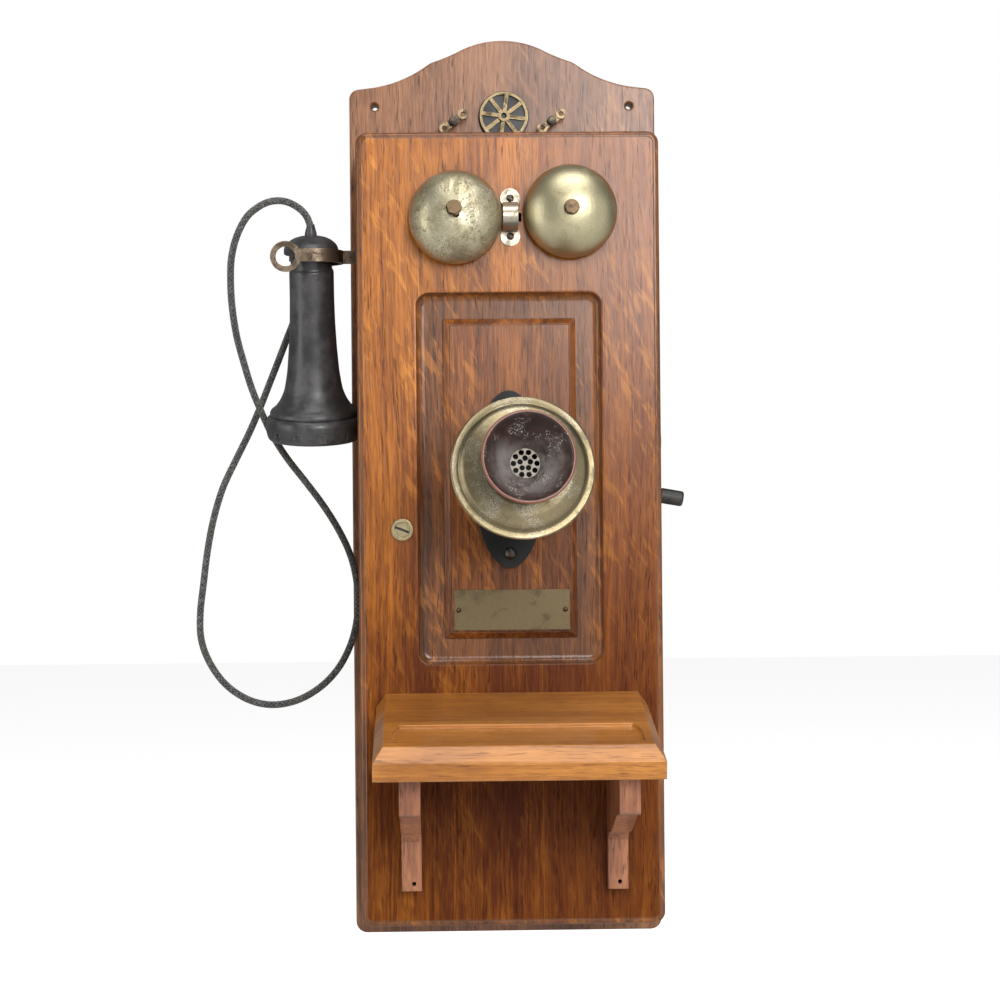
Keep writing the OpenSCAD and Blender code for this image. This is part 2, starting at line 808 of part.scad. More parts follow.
module clapper() {
    rod_r = 1.2;
    bar_l = 22;
    color("silver") difference() {
        union() {
            span([clapper_x - bar_l, armature_y - 5, armature_z - 6],
                [clapper_x + bar_l, armature_y + 5, armature_z - 1]);
            peg(clapper_x, armature_y + 5, armature_z, 4, 10);
            translate([clapper_x, armature_y, armature_z + 3])
                cylinder(h = clapper_z - armature_z - 3, r = rod_r);
            translate([clapper_x, armature_y, clapper_z]) sphere(rod_r);
            peg(clapper_x, armature_y, clapper_z, rod_r, armature_y - clapper_y);
            translate([clapper_x, clapper_y, clapper_z]) sphere(clapper_ball_r);
        }
        peg(clapper_x, armature_y + 7, armature_z, 1.5 + running, 14);
    }
}

// ---- door furniture ----

plate_x = 0.6;
plate_z = -362;

module nameplate() {
    color("darkkhaki") difference() {
        front(door_face, 1.2) translate([plate_x, plate_z]) square([79, 27.4], center = true);
        for (s = [-1, 1]) peg(plate_x + s * 36.5, door_face + 1, plate_z, 1, 4);
    }
}

module nameplate_pins() {
    color("goldenrod") for (s = [-1, 1]) union() {
        peg(plate_x + s * 36.5, door_face, plate_z, 1, 1.2);
        translate([plate_x + s * 36.5, door_face - 1.2, plate_z]) rotate([90, 0, 0]) difference() {
            sphere(1.7);
            translate([-3, -3, -6]) cube([6, 6, 6]);
        }
    }
}

base_top_z = -226;
base_low_z = -323.5;
base_t = 6;

// Round-head screws: their centre, the face they sit on, and their head radius.
module screw(x, y, z, r, shank) {
    head_h = r * 0.7;
    cap_r = (r * r + head_h * head_h) / (2 * head_h);
    difference() {
        union() {
            translate([x, y, z]) rotate([90, 0, 0]) intersection() {
                translate([0, 0, head_h - cap_r]) sphere(cap_r);
                cylinder(h = head_h, r = r);
            }
            peg(x, y + shank, z, r * 0.5, shank);
        }
        translate([x, y - head_h, z]) rotate([0, 25, 0]) cube([3 * r, r * 0.7, r * 0.3], center = true);
    }
}

module door_screws() {
    color("dimgray") {
        for (s = [-1, 1]) screw(guard_x, door_face - 1.4, clapper_z + s * 13, 2.6, 1.4);
        for (z = [base_top_z, base_low_z]) screw(base_x, door_face - base_t, z, 4.2, base_t);
    }
}

module transmitter_base() {
    ear_r = 8;
    ear_in = 9;
    ear_out = 14;
    half_w = 24.3;
    half_h = 60.7;
    middle_z = -272.8;
    color("black") difference() {
        union() {
            front(door_face, base_t) translate([base_x, middle_z])
                polygon([for (a = [0:6:354]) [half_w * cos(a), half_h * sin(a)]]);
            peg(base_x, door_face - base_t, -278, 19, 6);
            translate(pivot) rotate([0, 0, mouth_yaw]) for (s = [-1, 1]) {
                x0 = s > 0 ? ear_in : -ear_out;
                span([x0, 0, -ear_r], [x0 + ear_out - ear_in, 16, ear_r]);
                rod(x0, 0, 0, ear_r, ear_out - ear_in);
            }
        }
        translate(pivot) rotate([0, 0, mouth_yaw]) rod(-20, 0, 0, pivot_r, 40);
        for (z = [base_top_z, base_low_z]) peg(base_x, door_face + 1, z, 2.15, base_t + 2);
    }
}

module transmitter_pivot() {
    color("dimgray") translate(pivot) rotate([0, 0, mouth_yaw]) union() {
        rod(-14, 0, 0, pivot_r, 28);
        rod(-17.5, 0, 0, 5.5, 3.5);
        rod(14, 0, 0, 5.5, 3.5);
    }
}

module transmitter_arm() {
    cup_back = 50;
    color("black") on_transmitter() difference() {
        union() {
            translate([-8.7, 0, 0]) rotate([0, 90, 0]) cylinder(h = 17.4, r = 8);
            translate([-6, -6, 0]) cube([12, 12, 20]);
            translate([0, 0, 14]) cylinder(h = cup_back - 14, r = 7.5);
            translate([0, 0, cup_back - 6]) cylinder(h = 6, r1 = 7.5, r2 = 16);
        }
        translate([-10, 0, 0]) rotate([0, 90, 0]) cylinder(h = 20, r = pivot_r + running);
    }
}

module transmitter_cup() {
    wall = 2;
    profile = [[0, 50], [16, 50], [30, 53], [37, 57], [39.5, 62], [40.5, 78], [40.5 - wall, 78],
        [39.5 - wall, 63], [35.5, 59], [29, 55.2], [15, 52.2], [0, 52.2]];
    color("black") on_transmitter() rotate_extrude($fn = 96) polygon(profile);
}

module transmitter_faceplate() {
    step_r = 40.8;
    hole_r = 10;
    profile = concat(
        [[hole_r, 86], [step_r - 4, 82.4], [step_r - 2.5, 78], [face_r - 1, 78]],
        arc(face_r - 1.2, 79.4, 1.2, -60, 100, 5),
        [[face_r - 2.4, 80.2], [step_r + 1.2, 80.6], [step_r, 82.4], [step_r - 1.8, 83.4],
            [33, 85.6], [26, 87.4], [hole_r, 88]]);
    color("darkkhaki") on_transmitter() rotate_extrude($fn = 96) polygon(profile);
}

module transmitter_mouthpiece() {
    outer = [[17, 88], [17, 90.5], [14.6, 92.5], [14.4, 95], [15.6, 99], [18.4, 104], [22.6, 109.4],
        [27.4, 114], [30, 116.2]];
    rim = arc(mouth_r - 1.5, 117, 1.5, -10, 160, 6);
    inner = [[27.7, 116.4], [24, 112], [19.8, 107], [15.8, 102.5], [12.6, 98.8], [10.6, 96.2], [9.8, 95.2],
        [9.8, 94.4], [11.6, 94.4], [11.6, 92.9], [10.2, 92.9], [10.2, 88]];
    color("maroon") on_transmitter() rotate_extrude($fn = 96) polygon(concat(outer, rim, inner));
}

module mouthpiece_grille() {
    hole_r = 1.75;
    outer_ring = 7.6;
    inner_ring = 3.5;
    color("silver") on_transmitter() difference() {
        translate([0, 0, 92.9]) cylinder(h = 1.4, r = 11.5);
        for (i = [0:9]) rotate(36 * i) translate([outer_ring, 0, 92])
            cylinder(h = 3, r = hole_r, $fn = 24);
        for (i = [0:4]) rotate(72 * i + 18) translate([inner_ring, 0, 92])
            cylinder(h = 3, r = hole_r, $fn = 24);
    }
}

module transmitter_diaphragm() {
    color("silver") on_transmitter() translate([0, 0, 76.6]) cylinder(h = 0.8, r = 36);
}

module carbon_button() {
    color("goldenrod") on_transmitter() {
        translate([0, 0, 52.2]) cylinder(h = 8, r = 4);
        translate([0, 0, 60.2]) cylinder(h = 12, r = 15);
        translate([0, 0, 72.2]) cylinder(h = 4.4, r = 3);
    }
}

// ---- writing shelf ----

shelf_top = [0, door_face, -418.5];

module shelf_board() {
    bevel_in = 9;
    bevel_side = 6.6;
    bevel_h = 9;
    tray_depth = 2.5;
    tray_half = 80.5;
    tray_front = 142;
    tray_back = 94;
    tray_cut_w = 4.5;
    tray_cut_d = 18;
    big = 60;
    color("peru") difference() {
        translate(shelf_top) rotate([shelf_slope, 0, 0]) difference() {
            span([-shelf_w / 2, -shelf_d, -shelf_t], [shelf_w / 2, 5, 0]);
            translate([0, -shelf_d, -bevel_h]) rotate([atan2(bevel_h, bevel_in), 0, 0])
                translate([-shelf_w, -big / 2, 0]) cube([2 * shelf_w, big, big]);
            for (s = [-1, 1]) translate([s * shelf_w / 2, 0, -bevel_h])
                rotate([0, s * (90 - atan2(bevel_side, bevel_h)), 0])
                    translate([-big / 2, -shelf_d - 10, 0]) cube([big, shelf_d + 30, big]);
            translate([0, 0, -tray_depth]) linear_extrude(tray_depth + 1) polygon([
                [-tray_half, -tray_front], [-tray_half, -tray_back - tray_cut_d],
                [-tray_half + tray_cut_w, -tray_back], [tray_half - tray_cut_w, -tray_back],
                [tray_half, -tray_back - tray_cut_d], [tray_half, -tray_front]]);
        }
        span([-shelf_w, door_face, -500], [shelf_w, door_face + 20, -400]);
    }
}

module shelf_brackets() {
    bracket_w = 13.6;
    reach = 134;
    foot_z = -552;
    foot_d = 13;
    heel_d = foot_d + 8;
    heel_z = -512;
    nose_h = 26.5;
    nose_d = 4;
    top_back = shelf_top[2] - shelf_t / cos(shelf_slope);
    top_front = top_back - reach * tan(shelf_slope);
    nose_z = top_front - nose_h;
    steps = 10;
    run = reach - nose_d - heel_d;
    rise = nose_z - 2 - heel_z;
    ogee = [for (i = [0:steps]) let (t = i / steps)
        [door_face - heel_d - run * t, heel_z + rise * (1 - cos(180 * t)) / 2]];
    outline = concat(
        [[door_face, top_back], [door_face, foot_z], [door_face - foot_d, foot_z],
            [door_face - foot_d - 2, heel_z - 6]],
        ogee,
        [[door_face - reach, nose_z], [door_face - reach, top_front]]);
    color("sienna") for (x = [-69.5, 71]) difference() {
        side(x - bracket_w / 2, bracket_w) polygon(outline);
        peg(x + (x < 0 ? 1.6 : 1), door_face + 1, foot_z + 5, 1.4, foot_d + 4);
    }
}

// ---- receiver ----

module receiver_tail_cap() {
    crown = [[0, 0.6], [6, 0.8], [11, 2], [15.2, 4.2], [18, 7], [tail_r, 9.6], [tail_r, 13.2],
        [tail_r - 0.8, 14]];
    color("black") on_receiver() rotate_extrude($fn = 96)
        polygon(concat(crown, [[8, 14], [8, 3.6], [0, 3.6]]));
}

module receiver_shell() {
    outer = [[8, 14], [14.6, 14], [14.6, 24], [neck_r, 25.5], [neck_r, 46], [16.1, 62], [17, 79],
        [18.4, 96], [19.8, 105], [20.8, 110], [22.4, 114], [24.4, 118], [27.2, 121.6], [30.4, 124],
        [31.4, 126], [31.4, 128.4]];
    inner = [[27, 128.4], [26, 126], [22, 121], [18, 116], [15.4, 105], [13.4, 80], [12, 50], [12, 26],
        [11, 24], [5, 24], [5, 6], [8, 6]];
    color("black") on_receiver() rotate_extrude($fn = 96) polygon(concat(outer, inner));
}

module receiver_ear_cap() {
    notch_w = 4.6;
    outer = [[27, 128.4], [31.6, 128.4], [33.4, 129.6], [ear_r, 132.4], [ear_r, 136], [ear_r - 0.6, 141],
        [ear_r - 1.8, 144.6], [ear_r - 3.6, 146]];
    inner = [[20, 144.6], [10, 141.8], [6, 141.2], [6, 138.2], [27, 138.2]];
    color("black") on_receiver() difference() {
        rotate_extrude($fn = 96) polygon(concat(outer, inner));
        for (i = [0:11]) rotate(30 * i + 12) translate([ear_r - 1.6, -notch_w / 2, 137.5])
            cube([4, notch_w, 6]);
    }
}

module receiver_diaphragm() {
    color("silver") on_receiver() translate([0, 0, 136.6]) cylinder(h = 0.6, r = 26.8);
}

module receiver_magnet() {
    color("dimgray") on_receiver() {
        for (s = [-1, 1]) translate([s * 5.5 - 2.5, -5, 27]) cube([5, 10, 92]);
        translate([-8, -5, 24]) cube([16, 10, 3]);
        for (s = [-1, 1]) translate([s * 5.5, 0, 119]) cylinder(h = 15, r = 4.8);
    }
}

// ---- cord ----

// Unit direction of the route at point i.
function heading(i) =
    let (a = cord_route[max(i - 1, 0)], b = cord_route[min(i + 1, len(cord_route) - 1)])
    (b - a) / norm(b - a);

// Frame carried along the route without twist: each step straightens the last side vector.
function carry(i, u) = let (t = heading(i), v = u - t * (u * t)) v / norm(v);
function frames(i, u) =
    i >= len(cord_route) ? [] : let (v = carry(i, u)) concat([v], frames(i + 1, v));

module receiver_cord() {
    sides = 8;
    n = len(cord_route);
    u = frames(0, [0, 1, 0]);
    points = [for (i = [0:n - 1], k = [0:sides - 1])
        let (a = 360 * k / sides, side = cross(heading(i), u[i]))
        cord_route[i] + cord_d / 2 * (cos(a) * u[i] + sin(a) * side)];
    walls = [for (i = [0:n - 2], k = [0:sides - 1])
        let (a = i * sides, b = (k + 1) % sides) [a + k, a + k + sides, a + b + sides, a + b]];
    color("dimgray") polyhedron(points = points, faces = concat(walls,
        [[for (k = [0:sides - 1]) k]], [[for (k = [sides - 1:-1:0]) (n - 1) * sides + k]]), convexity = 6);
}

backboard();
cabinet_side_left();
cabinet_side_right();
cabinet_top();
cabinet_bottom();
generator_shelf();
cabinet_hinge_leaves();
hinge_pins();
arrester_base();
arrester_wheel();
binding_posts();
binding_nuts();
generator_magnets();
generator_poles();
generator_plates();
hook_switch_frame();
hook_contact_springs();
induction_coil();
condenser();
dry_cells();
cord_gland();
door_board();
door_hinge_leaves();
lock_barrel();
gong_left();
gong_right();
gong_posts();
gong_bolts();
clapper_guard();
ringer_frame();
ringer_coils();
ringer_magnet();
nameplate();
nameplate_pins();
door_screws();
transmitter_base();
transmitter_pivot();
shelf_board();
shelf_brackets();
lock_plug();
clapper();
transmitter_arm();
transmitter_cup();
transmitter_faceplate();
transmitter_mouthpiece();
mouthpiece_grille();
transmitter_diaphragm();
carbon_button();
crank_handle();
drive_gear();
crank_grip();
generator_armature();
armature_pinion();
hook_lever();
receiver_shell();
receiver_tail_cap();
receiver_ear_cap();
receiver_diaphragm();
receiver_magnet();
receiver_cord();
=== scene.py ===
"""Finishes for a wall crank telephone: fumed oak, worn brass, black japan, hard rubber and a braided cord."""

import json
import math

import bmesh
import bpy
from bpy.props import FloatProperty, FloatVectorProperty, PointerProperty
from mathutils import Matrix, Vector

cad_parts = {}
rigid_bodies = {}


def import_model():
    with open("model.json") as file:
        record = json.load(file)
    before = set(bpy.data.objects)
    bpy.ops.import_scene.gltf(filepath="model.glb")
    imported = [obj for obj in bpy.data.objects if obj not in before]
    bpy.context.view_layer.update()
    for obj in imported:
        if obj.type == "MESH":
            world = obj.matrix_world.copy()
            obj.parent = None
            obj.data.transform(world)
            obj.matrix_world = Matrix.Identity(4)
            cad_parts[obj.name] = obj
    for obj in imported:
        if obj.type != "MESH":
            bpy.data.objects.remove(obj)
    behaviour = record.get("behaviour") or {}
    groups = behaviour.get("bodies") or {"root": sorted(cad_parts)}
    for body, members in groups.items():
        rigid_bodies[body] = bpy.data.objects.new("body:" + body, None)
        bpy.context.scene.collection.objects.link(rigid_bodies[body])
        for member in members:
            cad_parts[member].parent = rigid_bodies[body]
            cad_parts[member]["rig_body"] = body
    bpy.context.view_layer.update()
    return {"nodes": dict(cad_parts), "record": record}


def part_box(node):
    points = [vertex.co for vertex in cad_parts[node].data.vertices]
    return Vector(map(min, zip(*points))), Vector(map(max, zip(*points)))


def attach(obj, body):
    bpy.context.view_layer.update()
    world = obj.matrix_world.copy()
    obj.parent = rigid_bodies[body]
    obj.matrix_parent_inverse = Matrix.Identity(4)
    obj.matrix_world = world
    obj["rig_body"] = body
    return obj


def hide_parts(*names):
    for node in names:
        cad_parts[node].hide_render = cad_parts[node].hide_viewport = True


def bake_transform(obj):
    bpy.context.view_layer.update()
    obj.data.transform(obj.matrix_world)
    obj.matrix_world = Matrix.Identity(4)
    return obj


bl_info = {
    "name": "Wall Crank Telephone",
    "version": (1, 0, 0),
    "blender": (4, 5, 0),
    "location": "View3D > Sidebar > Telephone",
    "description": "Builds the looks of an oak wall telephone around its packed model",
    "category": "Object",
}

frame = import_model()
NODES = frame["nodes"]
MM = 0.001

# ---- places read from the frame ----

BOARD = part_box("backboard")
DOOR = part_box("door_board")
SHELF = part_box("shelf_board")
DOOR_FACE = DOOR[0].y
DOOR_BACK = DOOR[1].y
GONG_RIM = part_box("gong_left")[1].y
PIVOT = Vector((0, -165, -280.5)) * MM
TRANSMITTER_AXES = (
    Matrix.Translation(PIVOT)
    @ Matrix.Rotation(math.radians(4), 4, "Z")
    @ Matrix.Rotation(math.radians(-10), 4, "X")
    @ Matrix.Rotation(math.radians(90), 4, "X")
)
RECEIVER_AXES = (
    Matrix.Translation(Vector((-137, -84, -99)) * MM)
    @ Matrix.Rotation(math.radians(-0.1), 4, "Y")
    @ Matrix.Rotation(math.radians(11.5), 4, "X")
    @ Matrix.Diagonal((1, 1, -1, 1))
)

# Route of the receiver's cord in millimetres, from the tail cap round its loop to the case.
CORD_ROUTE = [
    (-137, -84, -101), (-137, -86, -94), (-140, -88, -86), (-146, -89, -80), (-155, -90, -76),
    (-165, -89, -76), (-174, -88, -80), (-182, -87, -87), (-189, -85, -100), (-193, -82, -115),
    (-194, -77, -131), (-193.5, -72, -148), (-191, -66, -168), (-186.5, -59, -187),
    (-181.5, -52, -205), (-175.5, -45, -221), (-168, -38, -238), (-157.5, -34, -255),
    (-144.5, -32, -272), (-132, -31, -289), (-121.5, -31, -306), (-113.5, -31, -323),
    (-109, -31, -340), (-107.5, -31, -357), (-109, -30, -375), (-114, -29, -392),
    (-123, -28, -408), (-136, -27, -421), (-152.5, -26, -430), (-170.5, -25, -433),
    (-188, -24, -429), (-204, -23, -418), (-215.5, -22, -402), (-221.5, -21, -385),
    (-222, -20, -366), (-219.5, -20, -345), (-216.5, -20, -322), (-212, -20, -299),
    (-205, -20, -276), (-195, -20, -255), (-185.5, -20, -236), (-178, -20, -219),
    (-171, -22, -202), (-163.5, -26, -184), (-156.5, -30, -167), (-149, -35, -150),
    (-141.5, -39.5, -136), (-134, -43, -125), (-125.5, -45, -116), (-117, -45, -112.5),
    (-110, -45, -112), (-106.3, -45, -112),
]


# ---- settings a user may change ----


def colour_setting(name, description, default):
    """A colour that a user may change."""
    return FloatVectorProperty(
        name=name,
        description=description,
        subtype="COLOR",
        size=3,
        min=0,
        max=1,
        default=default,
    )


class TELEPHONE_PG_oak(bpy.types.PropertyGroup):
    """Colours of the oak"""

    light: colour_setting("Light Oak", "Colour of the early wood", (0.51, 0.166, 0.014))
    dark: colour_setting("Dark Oak", "Colour of the late wood", (0.150, 0.035, 0.004))
    fleck: colour_setting("Ray Fleck", "Colour of the rays on quartersawn faces", (0.72, 0.27, 0.030))


class TELEPHONE_PG_metal(bpy.types.PropertyGroup):
    """Colours of the metal fittings"""

    brass: colour_setting("Brass", "Colour of bare brass", (0.62, 0.50, 0.28))
    nickel: colour_setting("Nickel", "Colour of worn nickel plate", (0.40, 0.36, 0.29))
    tarnish: colour_setting("Tarnish", "Colour of the brown tarnish", (0.13, 0.09, 0.045))


class TELEPHONE_PG_cord(bpy.types.PropertyGroup):
    """Size and colour of the receiver's cord"""

    diameter: FloatProperty(
        name="Diameter",
        description="Thickness of the braided cord",
        subtype="DISTANCE",
        unit="LENGTH",
        default=0.005,
    )
    colour: colour_setting("Braid", "Colour of the cotton braid", (0.046, 0.048, 0.047))


class TELEPHONE_PG_stage(bpy.types.PropertyGroup):
    """Studio around the telephone"""

    floor: colour_setting("Floor", "Colour of the studio floor", (0.86, 0.86, 0.86))
    lens: FloatProperty(
        name="Lens",
        description="Focal length of the camera on a 36 mm sensor",
        subtype="DISTANCE_CAMERA",
        default=100.585,
    )
    key_power: FloatProperty(
        name="Key Light",
        description="Power from which every light of the studio takes its share",
        subtype="POWER",
        default=38.0,
    )


# ---- shader building blocks ----


def new_group(name, inputs, outputs):
    """An empty shader node group with float, vector or colour sockets, and its input and output nodes."""
    group = bpy.data.node_groups.new(name, "ShaderNodeTree")
    kinds = {"F": "NodeSocketFloat", "V": "NodeSocketVector", "C": "NodeSocketColor"}
    for label, kind, default in inputs:
        socket = group.interface.new_socket(name=label, in_out="INPUT", socket_type=kinds[kind])
        if default is not None:
            socket.default_value = default
    for label, kind in outputs:
        group.interface.new_socket(name=label, in_out="OUTPUT", socket_type=kinds[kind])
    return group, group.nodes.new("NodeGroupInput"), group.nodes.new("NodeGroupOutput")


class Net:
    """Adds nodes to a tree and joins them with short calls."""

    def __init__(self, tree):
        self.tree = tree

    def link(self, value, socket):
        if isinstance(value, bpy.types.NodeSocket):
            self.tree.links.new(value, socket)
        elif hasattr(value, "__len__") and len(value) == 3 and socket.type == "RGBA":
            socket.default_value = (*value, 1)
        else:
            socket.default_value = value

    def maths(self, operation, a, b=0.0, c=None, clamp=False):
        node = self.tree.nodes.new("ShaderNodeMath")
        node.operation = operation
        node.use_clamp = clamp
        self.link(a, node.inputs[0])
        self.link(b, node.inputs[1])
        if c is not None:
            self.link(c, node.inputs[2])
        return node.outputs[0]

    def times(self, a, b, clamp=False):
        return self.maths("MULTIPLY", a, b, clamp=clamp)

    def linear(self, value, slope, start, clamp=False):
        return self.maths("MULTIPLY_ADD", value, slope, start, clamp)

    def vector(self, operation, a, b=(0, 0, 0)):
        node = self.tree.nodes.new("ShaderNodeVectorMath")
        node.operation = operation
        self.link(a, node.inputs[0])
        self.link(b, node.inputs[1])
        return node.outputs["Value" if operation in ("DOT_PRODUCT", "LENGTH") else "Vector"]

    def mapping(self, vector, scale=(1, 1, 1), turn=(0, 0, 0), shift=(0, 0, 0)):
        node = self.tree.nodes.new("ShaderNodeMapping")
        self.link(vector, node.inputs["Vector"])
        node.inputs["Scale"].default_value = scale
        node.inputs["Rotation"].default_value = [math.radians(a) for a in turn]
        node.inputs["Location"].default_value = shift
        return node.outputs[0]

    def noise(self, vector, scale=1.0, detail=2.0, rough=0.5, warp=0.0):
        node = self.tree.nodes.new("ShaderNodeTexNoise")
        self.link(vector, node.inputs["Vector"])
        node.inputs["Scale"].default_value = scale
        node.inputs["Detail"].default_value = detail
        node.inputs["Roughness"].default_value = rough
        node.inputs["Distortion"].default_value = warp
        return node.outputs["Fac"]

    def cells(self, vector, scale):
        node = self.tree.nodes.new("ShaderNodeTexVoronoi")
        self.link(vector, node.inputs["Vector"])
        node.inputs["Scale"].default_value = scale
        return node.outputs["Distance"]

    def step(self, value, low, high, out_low=0.0, out_high=1.0):
        node = self.tree.nodes.new("ShaderNodeMapRange")
        node.interpolation_type = "SMOOTHSTEP"
        self.link(value, node.inputs["Value"])
        node.inputs["From Min"].default_value = low
        node.inputs["From Max"].default_value = high
        node.inputs["To Min"].default_value = out_low
        node.inputs["To Max"].default_value = out_high
        return node.outputs["Result"]

    def mix(self, amount, a, b):
        node = self.tree.nodes.new("ShaderNodeMix")
        node.data_type = "RGBA"
        self.link(amount, node.inputs["Factor"])
        self.link(a, node.inputs["A"])
        self.link(b, node.inputs["B"])
        return node.outputs["Result"]

    def split(self, vector):
        node = self.tree.nodes.new("ShaderNodeSeparateXYZ")
        self.link(vector, node.inputs[0])
        return node.outputs

    def place(self, group, **values):
        node = self.tree.nodes.new("ShaderNodeGroup")
        node.node_tree = group
        for label, value in values.items():
            self.link(value, node.inputs[label.replace("_", " ")])
        return node.outputs

    def object_coords(self):
        return self.tree.nodes.new("ShaderNodeTexCoord").outputs["Object"]

    def attribute(self, name):
        node = self.tree.nodes.new("ShaderNodeAttribute")
        node.attribute_name = name
        return node.outputs["Fac"]


def edge_wear_group():
    """Mask of the rubbed edges: where a widened bevel turns the surface away from its own normal."""
    group, inside, outside = new_group(
        "edge_wear",
        [("Radius", "F", 0.001), ("Strength", "F", 1.0), ("Vector", "V", None)],
        [("Mask", "F")],
    )
    net = Net(group)
    bevel = group.nodes.new("ShaderNodeBevel")
    bevel.samples = 6
    net.link(inside.outputs["Radius"], bevel.inputs["Radius"])
    geometry = group.nodes.new("ShaderNodeNewGeometry")
    agreement = net.vector("DOT_PRODUCT", bevel.outputs["Normal"], geometry.outputs["Normal"])
    turned_away = net.times(net.maths("SUBTRACT", 1.0, agreement), 9.0, clamp=True)
    patchy = net.step(net.noise(inside.outputs["Vector"], 160, 3, 0.6), 0.35, 0.62)
    rubbed = net.times(turned_away, patchy)
    worn = net.times(rubbed, inside.outputs["Strength"], clamp=True)
    net.link(worn, outside.inputs["Mask"])
    return group


def oak_group():
    """Quartersawn oak with its grain along Z: growth lines, open pores and ray flecks."""
    group, inside, outside = new_group(
        "oak_grain",
        [("Vector", "V", None), ("Flecks", "F", 1.0), ("Pores", "F", 1.0)],
        [("Tone", "F"), ("Fleck", "F"), ("Pore", "F"), ("Height", "F")],
    )
    net = Net(group)
    place = inside.outputs["Vector"]
    drift = net.noise(net.mapping(place, (9, 9, 2.2)), 1, 2, 0.5)
    bent = net.tree.nodes.new("ShaderNodeCombineXYZ")
    net.link(net.times(net.maths("SUBTRACT", drift, 0.5), 0.03), bent.inputs["X"])
    wavy = net.vector("ADD", place, bent.outputs[0])
    streak = net.noise(net.mapping(wavy, (230, 230, 6)), 1, 4, 0.6)
    line = net.noise(net.mapping(wavy, (620, 620, 10)), 1, 3, 0.6)
    broad = net.noise(net.mapping(wavy, (34, 34, 3.2), shift=(3, 1, 7)), 1, 3, 0.55)
    pore = net.noise(net.mapping(wavy, (1150, 1150, 75), shift=(11, 5, 2)), 1, 2, 0.55)
    pore_zone = net.noise(net.mapping(wavy, (300, 300, 9), shift=(1, 9, 4)), 1, 2, 0.5)
    pores = net.times(net.step(pore, 0.54, 0.66), net.step(pore_zone, 0.40, 0.62))
    pores = net.times(pores, inside.outputs["Pores"], clamp=True)
    rib = net.noise(net.mapping(wavy, (520, 520, 58), shift=(4, 8, 3)), 1, 2, 0.55, 0.25)
    ribs = net.step(rib, 0.36, 0.64)
    fleck_place = net.mapping(net.mapping(place, turn=(0, 24, 0)), (190, 190, 42), shift=(5, 2, 8))
    fleck = net.noise(fleck_place, 1, 3, 0.55, 0.5)
    fleck_zone = net.noise(net.mapping(place, (14, 14, 8), shift=(2, 4, 1)), 1, 2, 0.5)
    flecks = net.times(net.step(fleck, 0.53, 0.66), net.step(fleck_zone, 0.42, 0.58))
    flecks = net.times(flecks, inside.outputs["Flecks"], clamp=True)
    tone = net.linear(broad, 0.62, net.times(streak, 0.38))
    tone = net.linear(net.maths("SUBTRACT", line, 0.5), 0.34, tone)
    tone = net.linear(net.maths("SUBTRACT", ribs, 0.5), 0.09, tone)
    height = net.linear(rib, 1.4, net.times(pores, -0.7))
    height = net.linear(line, 0.3, height)
    net.link(net.step(tone, 0.28, 0.72), outside.inputs["Tone"])
    net.link(flecks, outside.inputs["Fleck"])
    net.link(pores, outside.inputs["Pore"])
    net.link(height, outside.inputs["Height"])
    return group


def tarnish_group():
    """Blotches, speckle and pits of old plated metal."""
    group, inside, outside = new_group(
        "tarnish",
        [("Vector", "V", None), ("Blotches", "F", 0.5), ("Pits", "F", 0.5), ("Size", "F", 1.0)],
        [("Blotch", "F"), ("Pit", "F"), ("Speckle", "F"), ("Height", "F")],
    )
    net = Net(group)
    place = inside.outputs["Vector"]
    sized = net.tree.nodes.new("ShaderNodeVectorMath")
    sized.operation = "SCALE"
    net.link(place, sized.inputs[0])
    net.link(inside.outputs["Size"], sized.inputs["Scale"])
    place = sized.outputs[0]
    blotch = net.noise(place, 70, 5, 0.62, 0.6)
    reach = net.linear(inside.outputs["Blotches"], -0.36, 0.72)
    blotches = net.times(net.maths("SUBTRACT", blotch, reach), 7.0, clamp=True)
    speckle = net.step(net.noise(place, 900, 3, 0.65), 0.40, 0.66)
    spots = net.cells(net.vector("ADD", place, (0.3, 0.1, 0.2)), 420)
    where = net.noise(place, 110, 3, 0.6)
    pit = net.times(net.step(spots, 0.36, 0.20), net.step(where, 0.50, 0.58))
    pits = net.times(pit, inside.outputs["Pits"], clamp=True)
    height = net.linear(pits, -1.0, net.times(speckle, 0.12))
    net.link(blotches, outside.inputs["Blotch"])
    net.link(pits, outside.inputs["Pit"])
    net.link(speckle, outside.inputs["Speckle"])
    net.link(height, outside.inputs["Height"])
    return group


GROUPS = {}


def shared(name):
    """The node group of that name, made the first time it is asked for."""
    makers = {"edge_wear": edge_wear_group, "oak_grain": oak_group, "tarnish": tarnish_group}
    if name not in GROUPS:
        GROUPS[name] = makers[name]()
    return GROUPS[name]


def new_material(name, metallic=0.0, specular=0.5, coat=0.0, coat_roughness=0.2, sheen=0.0):
    """A material with one Principled BSDF whose plain values are set on its own sockets."""
    material = bpy.data.materials.new(name)
    material.use_nodes = True
    tree = material.node_tree
    bsdf = tree.nodes["Principled BSDF"]
    bsdf.inputs["Metallic"].default_value = metallic
    bsdf.inputs["Specular IOR Level"].default_value = specular
    bsdf.inputs["Coat Weight"].default_value = coat
    bsdf.inputs["Coat Roughness"].default_value = coat_roughness
    bsdf.inputs["Sheen Weight"].default_value = sheen
    return material, Net(tree), bsdf


def bump(net, bsdf, height, distance, strength=1.0):
    node = net.tree.nodes.new("ShaderNodeBump")
    node.inputs["Distance"].default_value = distance
    node.inputs["Strength"].default_value = strength
    net.link(height, node.inputs["Height"])
    net.link(node.outputs["Normal"], bsdf.inputs["Normal"])


def scaled(colour, *factors):
    """The colour with each channel multiplied by its factor."""
    return tuple(c * f for c, f in zip(colour, factors))


